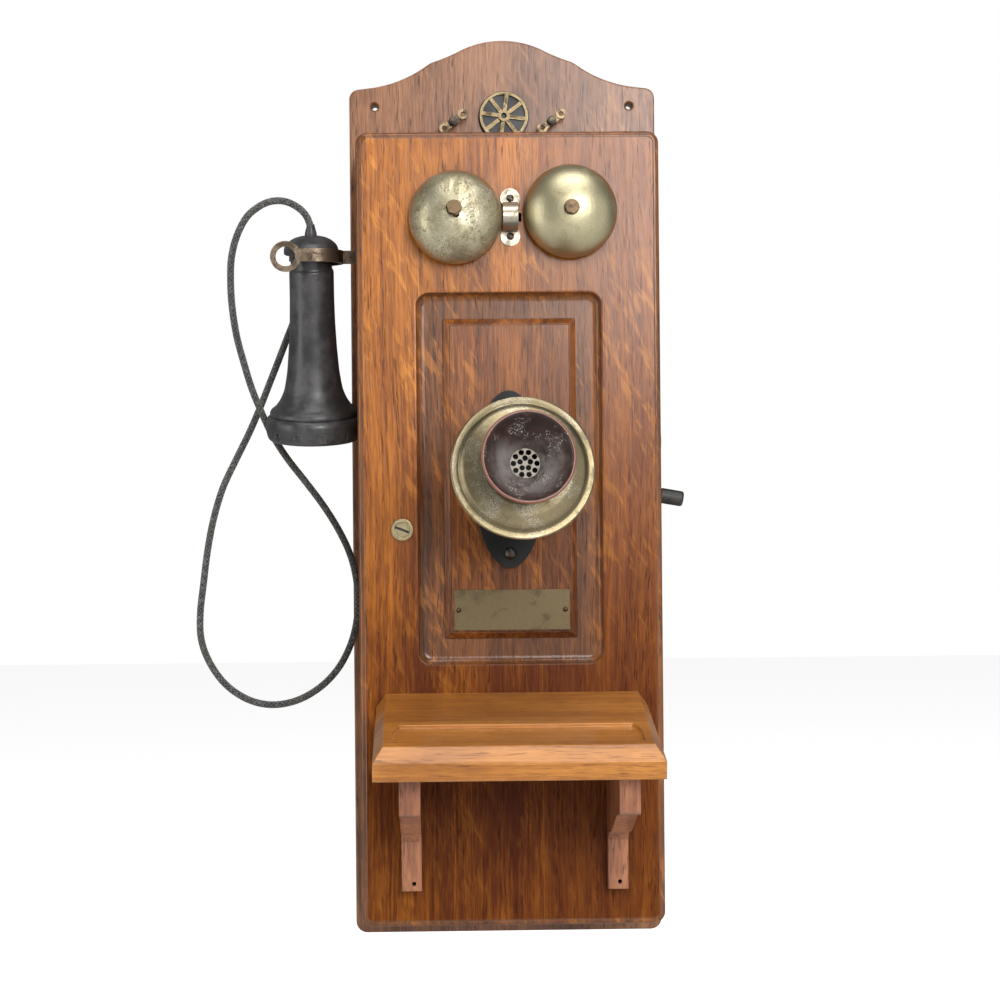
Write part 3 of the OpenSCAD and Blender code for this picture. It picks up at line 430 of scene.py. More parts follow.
def oak_material(
    name, light, dark, fleck, flecks=1.0, pores=1.0, grain="Z", worn=(0.15, 0.085, 0.06), gloss=0.36,
    wear=0.8, shift=(0, 0, 0), painted_shade_low=0.0, seam=None,
):
    """Varnished oak: grain is the grain's axis; the lower part can be darkened by painted shade, as in the
    shelf's shadow; seam is where two boards meet.
    """
    material, net, bsdf = new_material(name, specular=0.22, coat=0.5, coat_roughness=0.2)
    place = net.object_coords()
    turns = {"Z": (0, 0, 0), "X": (0, 90, 0), "Y": (90, 0, 0)}
    along = net.mapping(place, turn=turns[grain], shift=shift)
    oak = net.place(shared("oak_grain"), Vector=along, Flecks=flecks, Pores=pores)
    colour = net.mix(oak["Tone"], dark, light)
    colour = net.mix(net.times(oak["Fleck"], 0.7), colour, fleck)
    dirt = net.step(net.noise(place, 22, 3, 0.6), 0.42, 0.74)
    colour = net.mix(net.times(dirt, 0.45), colour, dark)
    # painted shade: darkens the lower part towards the bottom as in the shelf's shadow, and thins the varnish
    # coat and specular there
    if painted_shade_low:
        depth = net.step(net.times(net.split(place)["Z"], -1.0), 0.22, 0.46, 0.0, painted_shade_low)
        painted_foot_shade = net.times(depth, net.linear(oak["Tone"], -0.45, 1.0))
        colour = net.mix(painted_foot_shade, colour, scaled(dark, 0.5, 0.36, 0.2))
        net.link(net.linear(depth, -0.5, 0.5), bsdf.inputs["Coat Weight"])
        net.link(net.linear(depth, -0.12, 0.22), bsdf.inputs["Specular IOR Level"])
    if seam is not None:
        across = net.split(place)["X"]
        second = net.step(across, seam, seam + 0.0003, 0.0, 0.42)
        colour = net.mix(second, colour, scaled(dark, 0.7, 0.62, 0.6))
        gap = net.maths("ABSOLUTE", net.maths("SUBTRACT", across, seam))
        line = net.step(net.times(gap, -1.0), -0.0006, -0.0002, 0.0, 0.22)
        colour = net.mix(line, colour, light)
    colour = net.mix(net.times(oak["Pore"], 0.75), colour, scaled(dark, 0.25, 0.22, 0.3))
    edge = net.place(shared("edge_wear"), Radius=0.0022, Strength=wear, Vector=place)["Mask"]
    colour = net.mix(net.times(edge, 0.6), colour, worn)
    net.link(colour, bsdf.inputs["Base Color"])
    smear = net.noise(place, 60, 4, 0.6)
    rough = net.linear(smear, 0.22, gloss - 0.11)
    rough = net.linear(oak["Pore"], 0.2, rough, clamp=True)
    net.link(rough, bsdf.inputs["Roughness"])
    bump(net, bsdf, oak["Height"], 0.0003, 0.9)
    return material


def metal_material(
    name, colour, tarnish, blotches=0.5, pits=0.3, rough=0.32, metallic=1.0, size=1.0, edge=None,
    depth=0.0001, dark=(0.03, 0.022, 0.014), plating=None, channel_dark=None,
):
    """Old metal: bare colour, tarnish, dark pits, bright rubbed edges and grains of plating that are left."""
    material, net, bsdf = new_material(name)
    place = net.object_coords()
    old = net.place(shared("tarnish"), Vector=place, Blotches=blotches, Pits=pits, Size=size)
    worn = net.place(shared("edge_wear"), Radius=0.0007, Strength=0.8, Vector=place)["Mask"]
    grainy = net.linear(old["Speckle"], 0.4, 0.6)
    cover = net.times(old["Blotch"], grainy, clamp=True)
    shade = net.mix(cover, colour, tarnish)
    shade = net.mix(net.times(old["Speckle"], 0.25), shade, tarnish)
    if plating:
        grains = net.step(net.noise(place, 1500, 2, 0.6), 0.47, 0.60)
        left = net.step(net.noise(place, 48, 3, 0.6), 0.44, 0.62)
        shade = net.mix(net.times(grains, left), shade, plating)
    # darkens the channel inside the faceplate's rim, where the attribute named dirt is set
    if channel_dark:
        shade = net.mix(net.times(net.attribute("dirt"), 0.4), shade, channel_dark)
    shade = net.mix(net.times(worn, 0.8), shade, edge or colour)
    shade = net.mix(old["Pit"], shade, dark)
    net.link(shade, bsdf.inputs["Base Color"])
    dull = net.linear(cover, 0.25, rough)
    dull = net.linear(old["Pit"], 0.35, dull, clamp=True)
    net.link(dull, bsdf.inputs["Roughness"])
    shine = net.times(net.linear(old["Pit"], -0.8, 1.0), metallic, clamp=True)
    bare = net.linear(cover, -0.35, 1.0)
    net.link(net.times(shine, bare), bsdf.inputs["Metallic"])
    bump(net, bsdf, old["Height"], depth)
    return material


def black_material(
    name, base, worn, rough=0.35, wear=0.7, dust=0.3, grain=700, depth=0.00005, specular=0.5,
):
    """Black japan or hard rubber with rubbed edges and a film of dust."""
    material, net, bsdf = new_material(name, specular=specular, coat_roughness=0.25)
    place = net.object_coords()
    edge = net.place(shared("edge_wear"), Radius=0.0009, Strength=wear, Vector=place)["Mask"]
    film = net.step(net.noise(place, 55, 4, 0.65), 0.38, 0.70)
    fine = net.noise(place, grain, 3, 0.6)
    shade = net.mix(net.times(film, dust), base, worn)
    shade = net.mix(edge, shade, worn)
    net.link(shade, bsdf.inputs["Base Color"])
    smooth = net.linear(film, 0.18, rough)
    net.link(net.linear(fine, 0.08, smooth, clamp=True), bsdf.inputs["Roughness"])
    bump(net, bsdf, fine, depth)
    return material


def cord_material(settings):
    """Cotton braid: two sets of strands that cross round the cord, read from its own UV map."""
    material, net, bsdf = new_material("cord_braid", specular=0.25, sheen=0.35)
    uv = net.tree.nodes.new("ShaderNodeUVMap")
    uv.uv_map = "braid"
    across = net.split(uv.outputs["UV"])
    around = net.times(across["X"], 6 * math.tau)
    along = net.times(across["Y"], 5 * math.tau)
    right = net.maths("SINE", net.maths("ADD", around, along))
    left = net.maths("SINE", net.maths("SUBTRACT", around, along))
    weave = net.maths("MAXIMUM", right, left)
    strands = net.step(weave, -0.2, 0.95)
    place = net.object_coords()
    fuzz = net.noise(place, 1500, 3, 0.7)
    soil = net.step(net.noise(place, 38, 3, 0.6), 0.40, 0.70)
    pale = net.step(net.noise(place, 420, 2, 0.6), 0.50, 0.62)
    base = tuple(settings.colour)
    colour = net.mix(strands, scaled(base, 0.22, 0.22, 0.22), scaled(base, 1.7, 1.7, 1.7))
    colour = net.mix(net.times(pale, 0.2), colour, (0.42, 0.43, 0.41))
    colour = net.mix(net.times(soil, 0.4), colour, (0.09, 0.075, 0.055))
    net.link(colour, bsdf.inputs["Base Color"])
    net.link(net.linear(fuzz, 0.15, 0.72), bsdf.inputs["Roughness"])
    bump(net, bsdf, net.linear(fuzz, 0.3, strands), 0.0004)
    return material


def mouthpiece_material(name):
    """Brown hard rubber: red at the rubbed rim, grey in the lower bowl towards its neck as dust and painted
    sheen, scuffed white in patches.
    """
    material, net, bsdf = new_material(name, specular=0.5)
    place = net.object_coords()
    rim = net.attribute("rim")
    dust_and_sheen = net.attribute("dust_and_sheen")
    mottle = net.noise(place, 90, 4, 0.6)
    shade = net.mix(net.step(mottle, 0.35, 0.7), (0.020, 0.010, 0.008), (0.052, 0.023, 0.017))
    # dust with a painted sheen: a grey film over the lower inner bowl, where light from above shines
    film = net.times(dust_and_sheen, net.step(net.noise(place, 60, 4, 0.65), 0.30, 0.62))
    shade = net.mix(net.times(film, 0.8), shade, (0.24, 0.215, 0.205))
    scuffs = net.times(net.step(net.noise(place, 1100, 2, 0.6), 0.56, 0.62),
                       net.step(net.noise(place, 95, 3, 0.6), 0.52, 0.62))
    off_rim = net.linear(rim, -1.0, 0.8)
    shade = net.mix(net.times(scuffs, off_rim), shade, (0.5, 0.48, 0.46))
    shade = net.mix(net.times(rim, 0.85), shade, (0.25, 0.090, 0.056))
    net.link(shade, bsdf.inputs["Base Color"])
    net.link(net.linear(film, 0.2, 0.32, clamp=True), bsdf.inputs["Roughness"])
    bump(net, bsdf, net.noise(place, 800, 3, 0.6), 0.00005)
    return material


def make_finish(name):
    """The material for one slot of the record."""
    scene = bpy.context.scene
    oak = scene.telephone_oak
    metal = scene.telephone_metal
    light = tuple(oak.light)
    dark = tuple(oak.dark)
    fleck = tuple(oak.fleck)
    brass = tuple(metal.brass)
    nickel = tuple(metal.nickel)
    tarnish = tuple(metal.tarnish)
    black = (0.012, 0.0115, 0.011)
    woods = {
        "oak_door": dict(
            light=light, dark=dark, fleck=fleck, flecks=0.8, painted_shade_low=0.95, seam=0.021,
        ),
        # darker oak that paints shade in the sunk cove and along the door's moulded edge
        "oak_recess_painted_shade": dict(
            light=(0.27, 0.092, 0.022), dark=(0.07, 0.023, 0.007), fleck=(0.48, 0.17, 0.03),
            flecks=0.8,
        ),
        "oak_field": dict(
            light=(0.34, 0.105, 0.017), dark=(0.09, 0.024, 0.005), fleck=(0.54, 0.19, 0.03),
            flecks=0.7, painted_shade_low=0.55, seam=0.021,
        ),
        "oak_back": dict(
            light=(0.34, 0.150, 0.066), dark=(0.115, 0.044, 0.022), fleck=(0.46, 0.21, 0.07),
            gloss=0.38, flecks=0.5, shift=(0.3, 0, 0.2),
        ),
        "oak_case": dict(
            light=(0.30, 0.12, 0.045), dark=(0.12, 0.042, 0.016), fleck=(0.42, 0.18, 0.06),
            flecks=0.5, shift=(0.7, 0, 0.1),
        ),
        "oak_shelf": dict(
            light=(0.55, 0.215, 0.034), dark=(0.26, 0.085, 0.012), fleck=(0.60, 0.27, 0.06),
            grain="X", flecks=0.2, pores=0.7, wear=0.7, worn=(0.5, 0.3, 0.16), shift=(0.1, 0.4, 0),
        ),
        "oak_bracket": dict(
            light=(0.50, 0.205, 0.092), dark=(0.20, 0.072, 0.038), fleck=(0.56, 0.26, 0.11),
            flecks=0.3, shift=(0.5, 0.2, 0.6),
        ),
        "pine_shelf": dict(
            light=(0.55, 0.36, 0.17), dark=(0.36, 0.2, 0.08), fleck=(0.5, 0.3, 0.12), flecks=0.0,
            pores=0.2, grain="X", gloss=0.6,
        ),
    }
    metals = {
        "hinge_brass": dict(colour=brass, tarnish=tarnish, blotches=0.6, pits=0.2),
        "arrester_brass": dict(
            colour=(0.17, 0.125, 0.068), tarnish=(0.07, 0.05, 0.028), blotches=0.6, pits=0.2,
            size=2.0, edge=(0.36, 0.29, 0.17),
        ),
        "terminal_brass": dict(
            colour=(0.20, 0.15, 0.09), tarnish=(0.05, 0.035, 0.022), blotches=0.75, pits=0.2,
            size=2.0,
        ),
        "magnet_steel": dict(colour=(0.2, 0.2, 0.21), tarnish=(0.05, 0.045, 0.04), rough=0.45),
        "soft_iron": dict(colour=(0.3, 0.29, 0.28), tarnish=(0.1, 0.08, 0.06), rough=0.45),
        "plate_brass": dict(colour=brass, tarnish=tarnish, blotches=0.4),
        "tin": dict(colour=(0.6, 0.6, 0.6), tarnish=(0.25, 0.24, 0.22), blotches=0.4),
        "lock_brass": dict(
            colour=(0.34, 0.28, 0.16), tarnish=tarnish, blotches=0.3, pits=0.1, size=2.0,
            edge=(0.6, 0.54, 0.4),
        ),
        "gong_metal": dict(
            colour=(0.50, 0.45, 0.29), tarnish=(0.27, 0.23, 0.12), blotches=0.45, pits=0.12,
            rough=0.40, edge=(0.5, 0.44, 0.3), depth=0.00014,
        ),
        "gong_pitted": dict(
            colour=(0.50, 0.45, 0.30), tarnish=(0.17, 0.14, 0.08), blotches=0.7, pits=0.45,
            rough=0.40, edge=(0.5, 0.44, 0.3), depth=0.00028, dark=(0.07, 0.055, 0.035),
            plating=(0.66, 0.62, 0.48),
        ),
        "bolt_brass": dict(
            colour=(0.12, 0.082, 0.048), tarnish=(0.045, 0.03, 0.018), blotches=0.6, pits=0.2,
            size=2.0,
        ),
        "guard_nickel": dict(
            colour=nickel, tarnish=(0.14, 0.11, 0.07), blotches=0.6, pits=0.3, size=1.6,
        ),
        "plate_tarnish": dict(
            colour=(0.125, 0.092, 0.045), tarnish=(0.08, 0.056, 0.027), blotches=0.5, pits=0.1,
            rough=0.45, size=1.2, metallic=0.7,
        ),
        "screw_steel": dict(
            colour=(0.11, 0.095, 0.08), tarnish=(0.04, 0.03, 0.02), blotches=0.6, size=2.0,
        ),
        "face_brass": dict(
            colour=(0.27, 0.22, 0.13), tarnish=(0.11, 0.085, 0.045), blotches=0.5, pits=0.12,
            rough=0.36, edge=(0.42, 0.35, 0.21), depth=0.00014, plating=(0.50, 0.46, 0.36),
            channel_dark=(0.10, 0.08, 0.04),
        ),
        "grille_metal": dict(
            colour=(0.40, 0.36, 0.30), tarnish=(0.16, 0.12, 0.09), blotches=0.5, pits=0.2,
            size=2.0, rough=0.6, metallic=0.15,
        ),
        "diaphragm_metal": dict(
            colour=(0.03, 0.03, 0.03), tarnish=(0.015, 0.014, 0.013), blotches=0.3, rough=0.6,
        ),
        "crank_steel": dict(
            colour=(0.22, 0.21, 0.2), tarnish=(0.07, 0.055, 0.04), blotches=0.6, rough=0.4,
        ),
        "hook_nickel": dict(
            colour=(0.165, 0.122, 0.088), tarnish=(0.055, 0.036, 0.022), blotches=0.7, pits=0.35,
            size=1.8, rough=0.42, edge=(0.46, 0.39, 0.28), depth=0.00012,
        ),
    }
    blacks = {
        "black_rubber": dict(base=black, worn=(0.06, 0.055, 0.05)),
        "terminal_black": dict(base=black, worn=(0.09, 0.07, 0.05)),
        "japan_black": dict(
            base=(0.006, 0.006, 0.006), worn=(0.03, 0.028, 0.026), rough=0.34, dust=0.06,
            specular=0.3,
        ),
        "receiver_rubber": dict(
            base=(0.030, 0.029, 0.030), worn=(0.15, 0.145, 0.145), rough=0.27, dust=0.35, wear=0.9,
        ),
        "grip_rubber": dict(
            base=(0.02, 0.019, 0.018), worn=(0.12, 0.11, 0.10), rough=0.4, dust=0.35,
        ),
        "carbon": dict(base=black, worn=(0.05, 0.05, 0.05), rough=0.5),
        "winding": dict(
            base=(0.17, 0.028, 0.014), worn=(0.3, 0.09, 0.04), rough=0.5, grain=2400, depth=0.0003,
        ),
        "coil_cloth": dict(
            base=(0.03, 0.06, 0.032), worn=(0.09, 0.12, 0.07), rough=0.75, grain=1800,
            depth=0.0002,
        ),
        "cell_card": dict(
            base=(0.16, 0.15, 0.13), worn=(0.3, 0.27, 0.22), rough=0.7, dust=0.5, grain=300,
        ),
    }
    if name in woods:
        return oak_material(name, **woods[name])
    if name in metals:
        return metal_material(name, **metals[name])
    if name in blacks:
        return black_material(name, **blacks[name])
    if name == "mouth_rubber":
        return mouthpiece_material(name)
    if name == "cord_braid":
        return cord_material(scene.telephone_cord)
    raise KeyError(f"no finish is written for the slot {name}")


FINISHES = {}


def finish(name):
    """The material of that name, made the first time it is asked for."""
    if name not in FINISHES:
        FINISHES[name] = make_finish(name)
    return FINISHES[name]


SLOTS = {part["node"]: part["material_slot"] for part in frame["record"]["subparts"]}


# ---- mesh building blocks ----


def mesh_piece(name, bm, body, slot_name, replaced=(), extra=(), angle=32):
    """Turns a bmesh into a smooth-shaded piece that rides on a body and stands for the given nodes."""
    mesh = bpy.data.meshes.new(name)
    bm.to_mesh(mesh)
    bm.free()
    mesh.shade_smooth()
    mesh.set_sharp_from_angle(angle=math.radians(angle))
    piece = bpy.data.objects.new(name, mesh)
    bpy.context.scene.collection.objects.link(piece)
    even = piece.modifiers.new("even_shading", "WEIGHTED_NORMAL")
    even.keep_sharp = True
    for each in (slot_name, *extra):
        mesh.materials.append(finish(each))
    if body:
        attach(piece, body)
    if replaced:
        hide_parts(*replaced)
    return piece


def whole(node):
    """A node's mesh with its loose triangles merged and its flat faces made whole."""
    bm = bmesh.new()
    bm.from_mesh(NODES[node].data)
    bmesh.ops.remove_doubles(bm, verts=bm.verts, dist=2e-6)
    bmesh.ops.dissolve_limit(bm, angle_limit=math.radians(0.6), verts=bm.verts, edges=bm.edges)
    return bm


def ease_edges(bm, width, segments=2, angle=38, where=None):
    """Rounds the sharp edges, or only those that where() picks."""
    limit = math.radians(angle)
    edges = [e for e in bm.edges if len(e.link_faces) == 2 and e.calc_face_angle(0) > limit]
    if where:
        edges = [e for e in edges if where(e)]
    bmesh.ops.bevel(
        bm, geom=edges, offset=width, offset_type="OFFSET", segments=segments, profile=0.5,
        affect="EDGES", clamp_overlap=True, material=-1,
    )


def softened(node, width, segments=2, angle=38):
    """A copy of a node with eased edges, in the node's own finish."""
    bm = whole(node)
    ease_edges(bm, width, segments, angle)
    return mesh_piece(node + "_piece", bm, NODES[node]["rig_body"], SLOTS[node], (node,))


def eased(points, radius, steps=4):
    """The outline with each inner corner drawn as a short curve."""
    result = [points[0]]
    for before, corner, after in zip(points, points[1:], points[2:]):
        before, corner, after = Vector(before), Vector(corner), Vector(after)
        reach = min(radius, 0.48 * (before - corner).length, 0.48 * (after - corner).length)
        start = corner + (before - corner).normalized() * reach
        end = corner + (after - corner).normalized() * reach
        for i in range(steps + 1):
            t = i / steps
            result.append(tuple(start * (1 - t) ** 2 + corner * 2 * t * (1 - t) + end * t * t))
    return result + [points[-1]]


def turned(profile, axes, radius=0.6, steps=96, closed=False):
    """Spins an outline of (radius, height) pairs in millimetres about Z and places it by axes."""
    if closed:
        profile = [*profile, profile[0]]
    outline = eased(profile, radius)
    bm = bmesh.new()
    verts = [bm.verts.new((r * MM, 0, z * MM)) for r, z in outline]
    edges = [bm.edges.new(pair) for pair in zip(verts, verts[1:])]
    bmesh.ops.spin(
        bm, geom=[*verts, *edges], cent=(0, 0, 0), axis=(0, 0, 1), dvec=(0, 0, 0),
        angle=math.tau, steps=steps, use_merge=True, use_normal_flip=False, use_duplicate=False,
    )
    bmesh.ops.remove_doubles(bm, verts=bm.verts, dist=2e-6)
    bmesh.ops.transform(bm, matrix=axes, verts=bm.verts)
    bmesh.ops.recalc_face_normals(bm, faces=bm.faces)
    return bm


def box_bm(low, high):
    """A block between two corners in millimetres."""
    bm = bmesh.new()
    bmesh.ops.create_cube(bm, size=1)
    low, high = Vector(low) * MM, Vector(high) * MM
    bmesh.ops.scale(bm, vec=high - low, verts=bm.verts)
    bmesh.ops.translate(bm, vec=(low + high) / 2, verts=bm.verts)
    return bm


def peg_bm(centre, radius, length, axis="Y", segments=40):
    """A round bar centred on a point in millimetres, lying along Y, or standing along Z."""
    bm = bmesh.new()
    bmesh.ops.create_cone(
        bm, cap_ends=True, segments=segments, radius1=radius * MM, radius2=radius * MM, depth=length * MM,
    )
    if axis == "Y":
        bmesh.ops.rotate(bm, cent=(0, 0, 0), matrix=Matrix.Rotation(math.radians(90), 3, "X"), verts=bm.verts)
    bmesh.ops.translate(bm, vec=Vector(centre) * MM, verts=bm.verts)
    return bm


def cut(bm, cutters):
    """Subtracts each cutter from the mesh and returns the result."""
    objects = []
    for part in (bm, *cutters):
        mesh = bpy.data.meshes.new("cutting")
        part.to_mesh(mesh)
        part.free()
        thing = bpy.data.objects.new("cutting", mesh)
        bpy.context.scene.collection.objects.link(thing)
        objects.append(thing)
    body = objects[0]
    for cutter in objects[1:]:
        modifier = body.modifiers.new("cut", "BOOLEAN")
        modifier.operation = "DIFFERENCE"
        modifier.solver = "EXACT"
        modifier.object = cutter
    bpy.context.view_layer.update()
    result = bmesh.new()
    result.from_object(body, bpy.context.evaluated_depsgraph_get())
    for thing in objects:
        mesh = thing.data
        bpy.data.objects.remove(thing)
        bpy.data.meshes.remove(mesh)
    return result


def rounded_loop(bm, width, height, radius, x, z, y, segments=8):
    """A round-cornered rectangle facing the front: the edges of its outline, and its face."""
    made = bmesh.ops.create_grid(bm, x_segments=1, y_segments=1, size=0.5)["verts"]
    bmesh.ops.scale(bm, vec=(width * MM, height * MM, 1), verts=made)
    bmesh.ops.rotate(bm, cent=(0, 0, 0), matrix=Matrix.Rotation(math.radians(90), 3, "X"), verts=made)
    bmesh.ops.translate(bm, vec=Vector((x, y, z)) * MM, verts=made)
    result = bmesh.ops.bevel(
        bm, geom=made, offset=radius * MM, offset_type="OFFSET", segments=segments, profile=0.5,
        affect="VERTICES", clamp_overlap=True, material=-1,
    )
    face = next(f for v in result["verts"] for f in v.link_faces)
    return list(face.edges), face


def nested(rings):
    """A solid skinned over nested round-cornered rings from its back to its front, closed at both ends."""
    bm = bmesh.new()
    loops = [rounded_loop(bm, *ring) for ring in rings]
    for (first, _), (second, _) in zip(loops, loops[1:]):
        bmesh.ops.bridge_loops(bm, edges=[*first, *second])
    inner_faces = [face for _, face in loops[1:-1]]
    bmesh.ops.delete(bm, geom=inner_faces, context="FACES_ONLY")
    bmesh.ops.recalc_face_normals(bm, faces=bm.faces)
    return bm


# ---- cord ----


def smooth_route(points, parts):
    """The curve through the points, each span cut into equal parts."""
    ends = [points[0] * 2 - points[1], *points, points[-1] * 2 - points[-2]]
    result = []
    for i in range(len(points) - 1):
        a, b, c, d = ends[i : i + 4]
        for k in range(parts):
            t = k / parts
            result.append(
                0.5 * (
                    2 * b + (c - a) * t + (2 * a - 5 * b + 4 * c - d) * t * t
                    + (3 * b - a - 3 * c + d) * t ** 3
                )
            )
    return [*result, points[-1]]


def cord_tube(route, radius, sides=16):
    """A tube along the route, with a UV map that runs round it and along it in turns of its own girth."""
    bm = bmesh.new()
    layer = bm.loops.layers.uv.new("braid")
    side = Vector((0, 1, 0))
    rings = []
    for i, centre in enumerate(route):
        ahead = (route[min(i + 1, len(route) - 1)] - route[max(i - 1, 0)]).normalized()
        side = (side - ahead * side.dot(ahead)).normalized()
        axes = Matrix((side, ahead.cross(side), ahead)).transposed().to_4x4()
        axes.translation = centre
        circle = bmesh.ops.create_circle(bm, cap_ends=False, segments=sides, radius=radius, matrix=axes)
        rings.append(circle["verts"])
    for lower, upper in zip(rings, rings[1:]):
        edges = {e for v in (*lower, *upper) for e in v.link_edges if e.other_vert(v) in set(lower + upper)}
        loose = [e for e in edges if e.verts[0] in lower and e.verts[1] in lower]
        loose += [e for e in edges if e.verts[0] in upper and e.verts[1] in upper]
        bmesh.ops.bridge_loops(bm, edges=loose)
    for ring in (rings[0], rings[-1]):
        bmesh.ops.contextual_create(bm, geom=ring)
    place = {v: (k / sides, i) for i, ring in enumerate(rings) for k, v in enumerate(ring)}
    travelled = [0.0]
    for a, b in zip(route, route[1:]):
        travelled.append(travelled[-1] + (b - a).length)
    girth = math.tau * radius
    for face in bm.faces:
        turns = [place[loop.vert][0] for loop in face.loops]
        wraps = max(turns) - min(turns) > 0.5
        for loop, turn in zip(face.loops, turns):
            around = turn + 1 if wraps and turn < 0.5 else turn
            loop[layer].uv = (around, travelled[place[loop.vert][1]] / girth)
    bmesh.ops.recalc_face_normals(bm, faces=bm.faces)
    return bm, travelled[-1]


# ---- operators ----


class TELEPHONE_OT_stage(bpy.types.Operator):
    """Set the camera, the pale floor and the soft studio light"""

    bl_idname = "telephone.stage"
    bl_label = "Camera and Studio"

    def execute(self, context):
        scene = context.scene
        stage = scene.telephone_stage
        camera = bpy.data.objects.new("camera", bpy.data.cameras.new("camera"))
        camera.data.lens = stage.lens
        camera.data.sensor_width = 36
        camera.data.clip_end = 60
        turn = (
            Matrix.Rotation(math.radians(-1.4227), 4, "Z")
            @ Matrix.Rotation(math.radians(0.2670), 4, "X")
            @ Matrix.Rotation(math.radians(0.5195), 4, "Y")
        )
        look_forward = Matrix.Rotation(math.radians(90), 4, "X")
        eye = Matrix.Translation(Vector((-54.45, -2050.29, -295.82)) * MM)
        camera.matrix_world = eye @ turn @ look_forward
        scene.collection.objects.link(camera)
        scene.camera = camera
        scene.view_settings.view_transform = "Standard"
        self.floor(scene, stage)
        self.world(scene)
        power = stage.key_power
        self.light(scene, "front_light", (0.82, -3.1, 0.6), (0, 0, -0.12), 1.4, 1.25, power * 1.9)
        self.light(scene, "top_light", (0.15, -1.0, 1.5), (0, -0.05, -0.2), 1.6, 1.0, power * 0.62)
        self.light(scene, "left_light", (-1.9, -1.0, -0.15), (0, -0.1, -0.3), 0.6, 1.6, power * 0.32)
        self.light(scene, "right_light", (1.9, -1.0, -0.05), (0, -0.1, -0.3), 0.7, 1.6, power * 0.10)
        return {"FINISHED"}

    def light(self, scene, name, place, target, width, height, power):
        lamp = bpy.data.lights.new(name, "AREA")
        lamp.shape = "RECTANGLE"
        lamp.size = width
        lamp.size_y = height
        lamp.energy = power
        thing = bpy.data.objects.new(name, lamp)
        thing.location = place
        thing.rotation_euler = (Vector(target) - Vector(place)).to_track_quat("-Z", "Y").to_euler()
        scene.collection.objects.link(thing)

    def floor(self, scene, stage):
        bm = bmesh.new()
        bmesh.ops.create_grid(bm, x_segments=1, y_segments=1, size=6)
        bmesh.ops.translate(bm, vec=(0, 0, BOARD[0].z - 0.12), verts=bm.verts)
        mesh = bpy.data.meshes.new("floor")
        bm.to_mesh(mesh)
        bm.free()
        material, net, bsdf = new_material("studio_floor", specular=0.1)
        bsdf.inputs["Base Color"].default_value = (*stage.floor, 1)
        bsdf.inputs["Roughness"].default_value = 0.9
        seen = net.tree.nodes.new("ShaderNodeLightPath").outputs["Is Camera Ray"]
        bsdf.inputs["Emission Color"].default_value = (1, 1, 1, 1)
        net.link(net.times(seen, 0.75), bsdf.inputs["Emission Strength"])
        mesh.materials.append(material)
        plane = bpy.data.objects.new("floor", mesh)
        scene.collection.objects.link(plane)

    def world(self, scene):
        world = bpy.data.worlds.new("studio")
        world.use_nodes = True
        tree = world.node_tree
        seen = tree.nodes.new("ShaderNodeLightPath").outputs["Is Camera Ray"]
        strength = Net(tree).linear(seen, 0.80, 0.20)
        background = tree.nodes["Background"]
        background.inputs["Color"].default_value = (1, 1, 1, 1)
        tree.links.new(strength, background.inputs["Strength"])
        scene.world = world


class TELEPHONE_OT_cord(bpy.types.Operator):
    """Lay the receiver's braided cord from the tail cap to the case"""

    bl_idname = "telephone.cord"
    bl_label = "Receiver Cord"

    def execute(self, context):
        thickness = context.scene.telephone_cord.diameter
        route = smooth_route([Vector(p) * MM for p in CORD_ROUTE], 5)
        bm, length = cord_tube(route, thickness / 2)
        piece = mesh_piece("braided_cord", bm, None, "cord_braid")
        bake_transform(piece)
        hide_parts("receiver_cord")
        cone = [(0, -4), (4.4, -4), (4.2, 3), (3.2, 7), (2.75, 9), (2.75, 9.4), (0, 9.4)]
        ferrule = mesh_piece("cord_ferrule", turned(cone, self.axes()), "receiver", "receiver_rubber")
        return {"FINISHED"}

    def axes(self):
        start, ahead = Vector(CORD_ROUTE[0]), Vector(CORD_ROUTE[1])
        lean = (ahead - start).to_track_quat("Z", "Y").to_matrix().to_4x4()
        return Matrix.Translation(start * MM) @ lean


class TELEPHONE_OT_case(bpy.types.Operator):
    """Build the backboard and the boards of the case"""

    bl_idname = "telephone.case"
    bl_label = "Backboard and Case"

    def execute(self, context):
        front = BOARD[0].y
        bm = whole("backboard")
        holes = [Vector((side * 92.5 * MM, 0)) for side in (-1, 1)]

        def on_outline(edge):
            middle = (edge.verts[0].co + edge.verts[1].co) / 2
            flat = Vector((middle.x, middle.z))
            ahead = all(abs(v.co.y - front) < 1e-5 for v in edge.verts)
            return ahead and all((flat - hole).length > 8 * MM for hole in holes)

        ease_edges(bm, 4 * MM, 5, where=on_outline)
        mesh_piece("oak_backboard", bm, "root", "oak_back", ("backboard",), angle=40)
        sides = ("cabinet_side_left", "cabinet_side_right", "cabinet_top", "cabinet_bottom")
        for node in (*sides, "generator_shelf"):
            softened(node, 0.6 * MM)
        return {"FINISHED"}


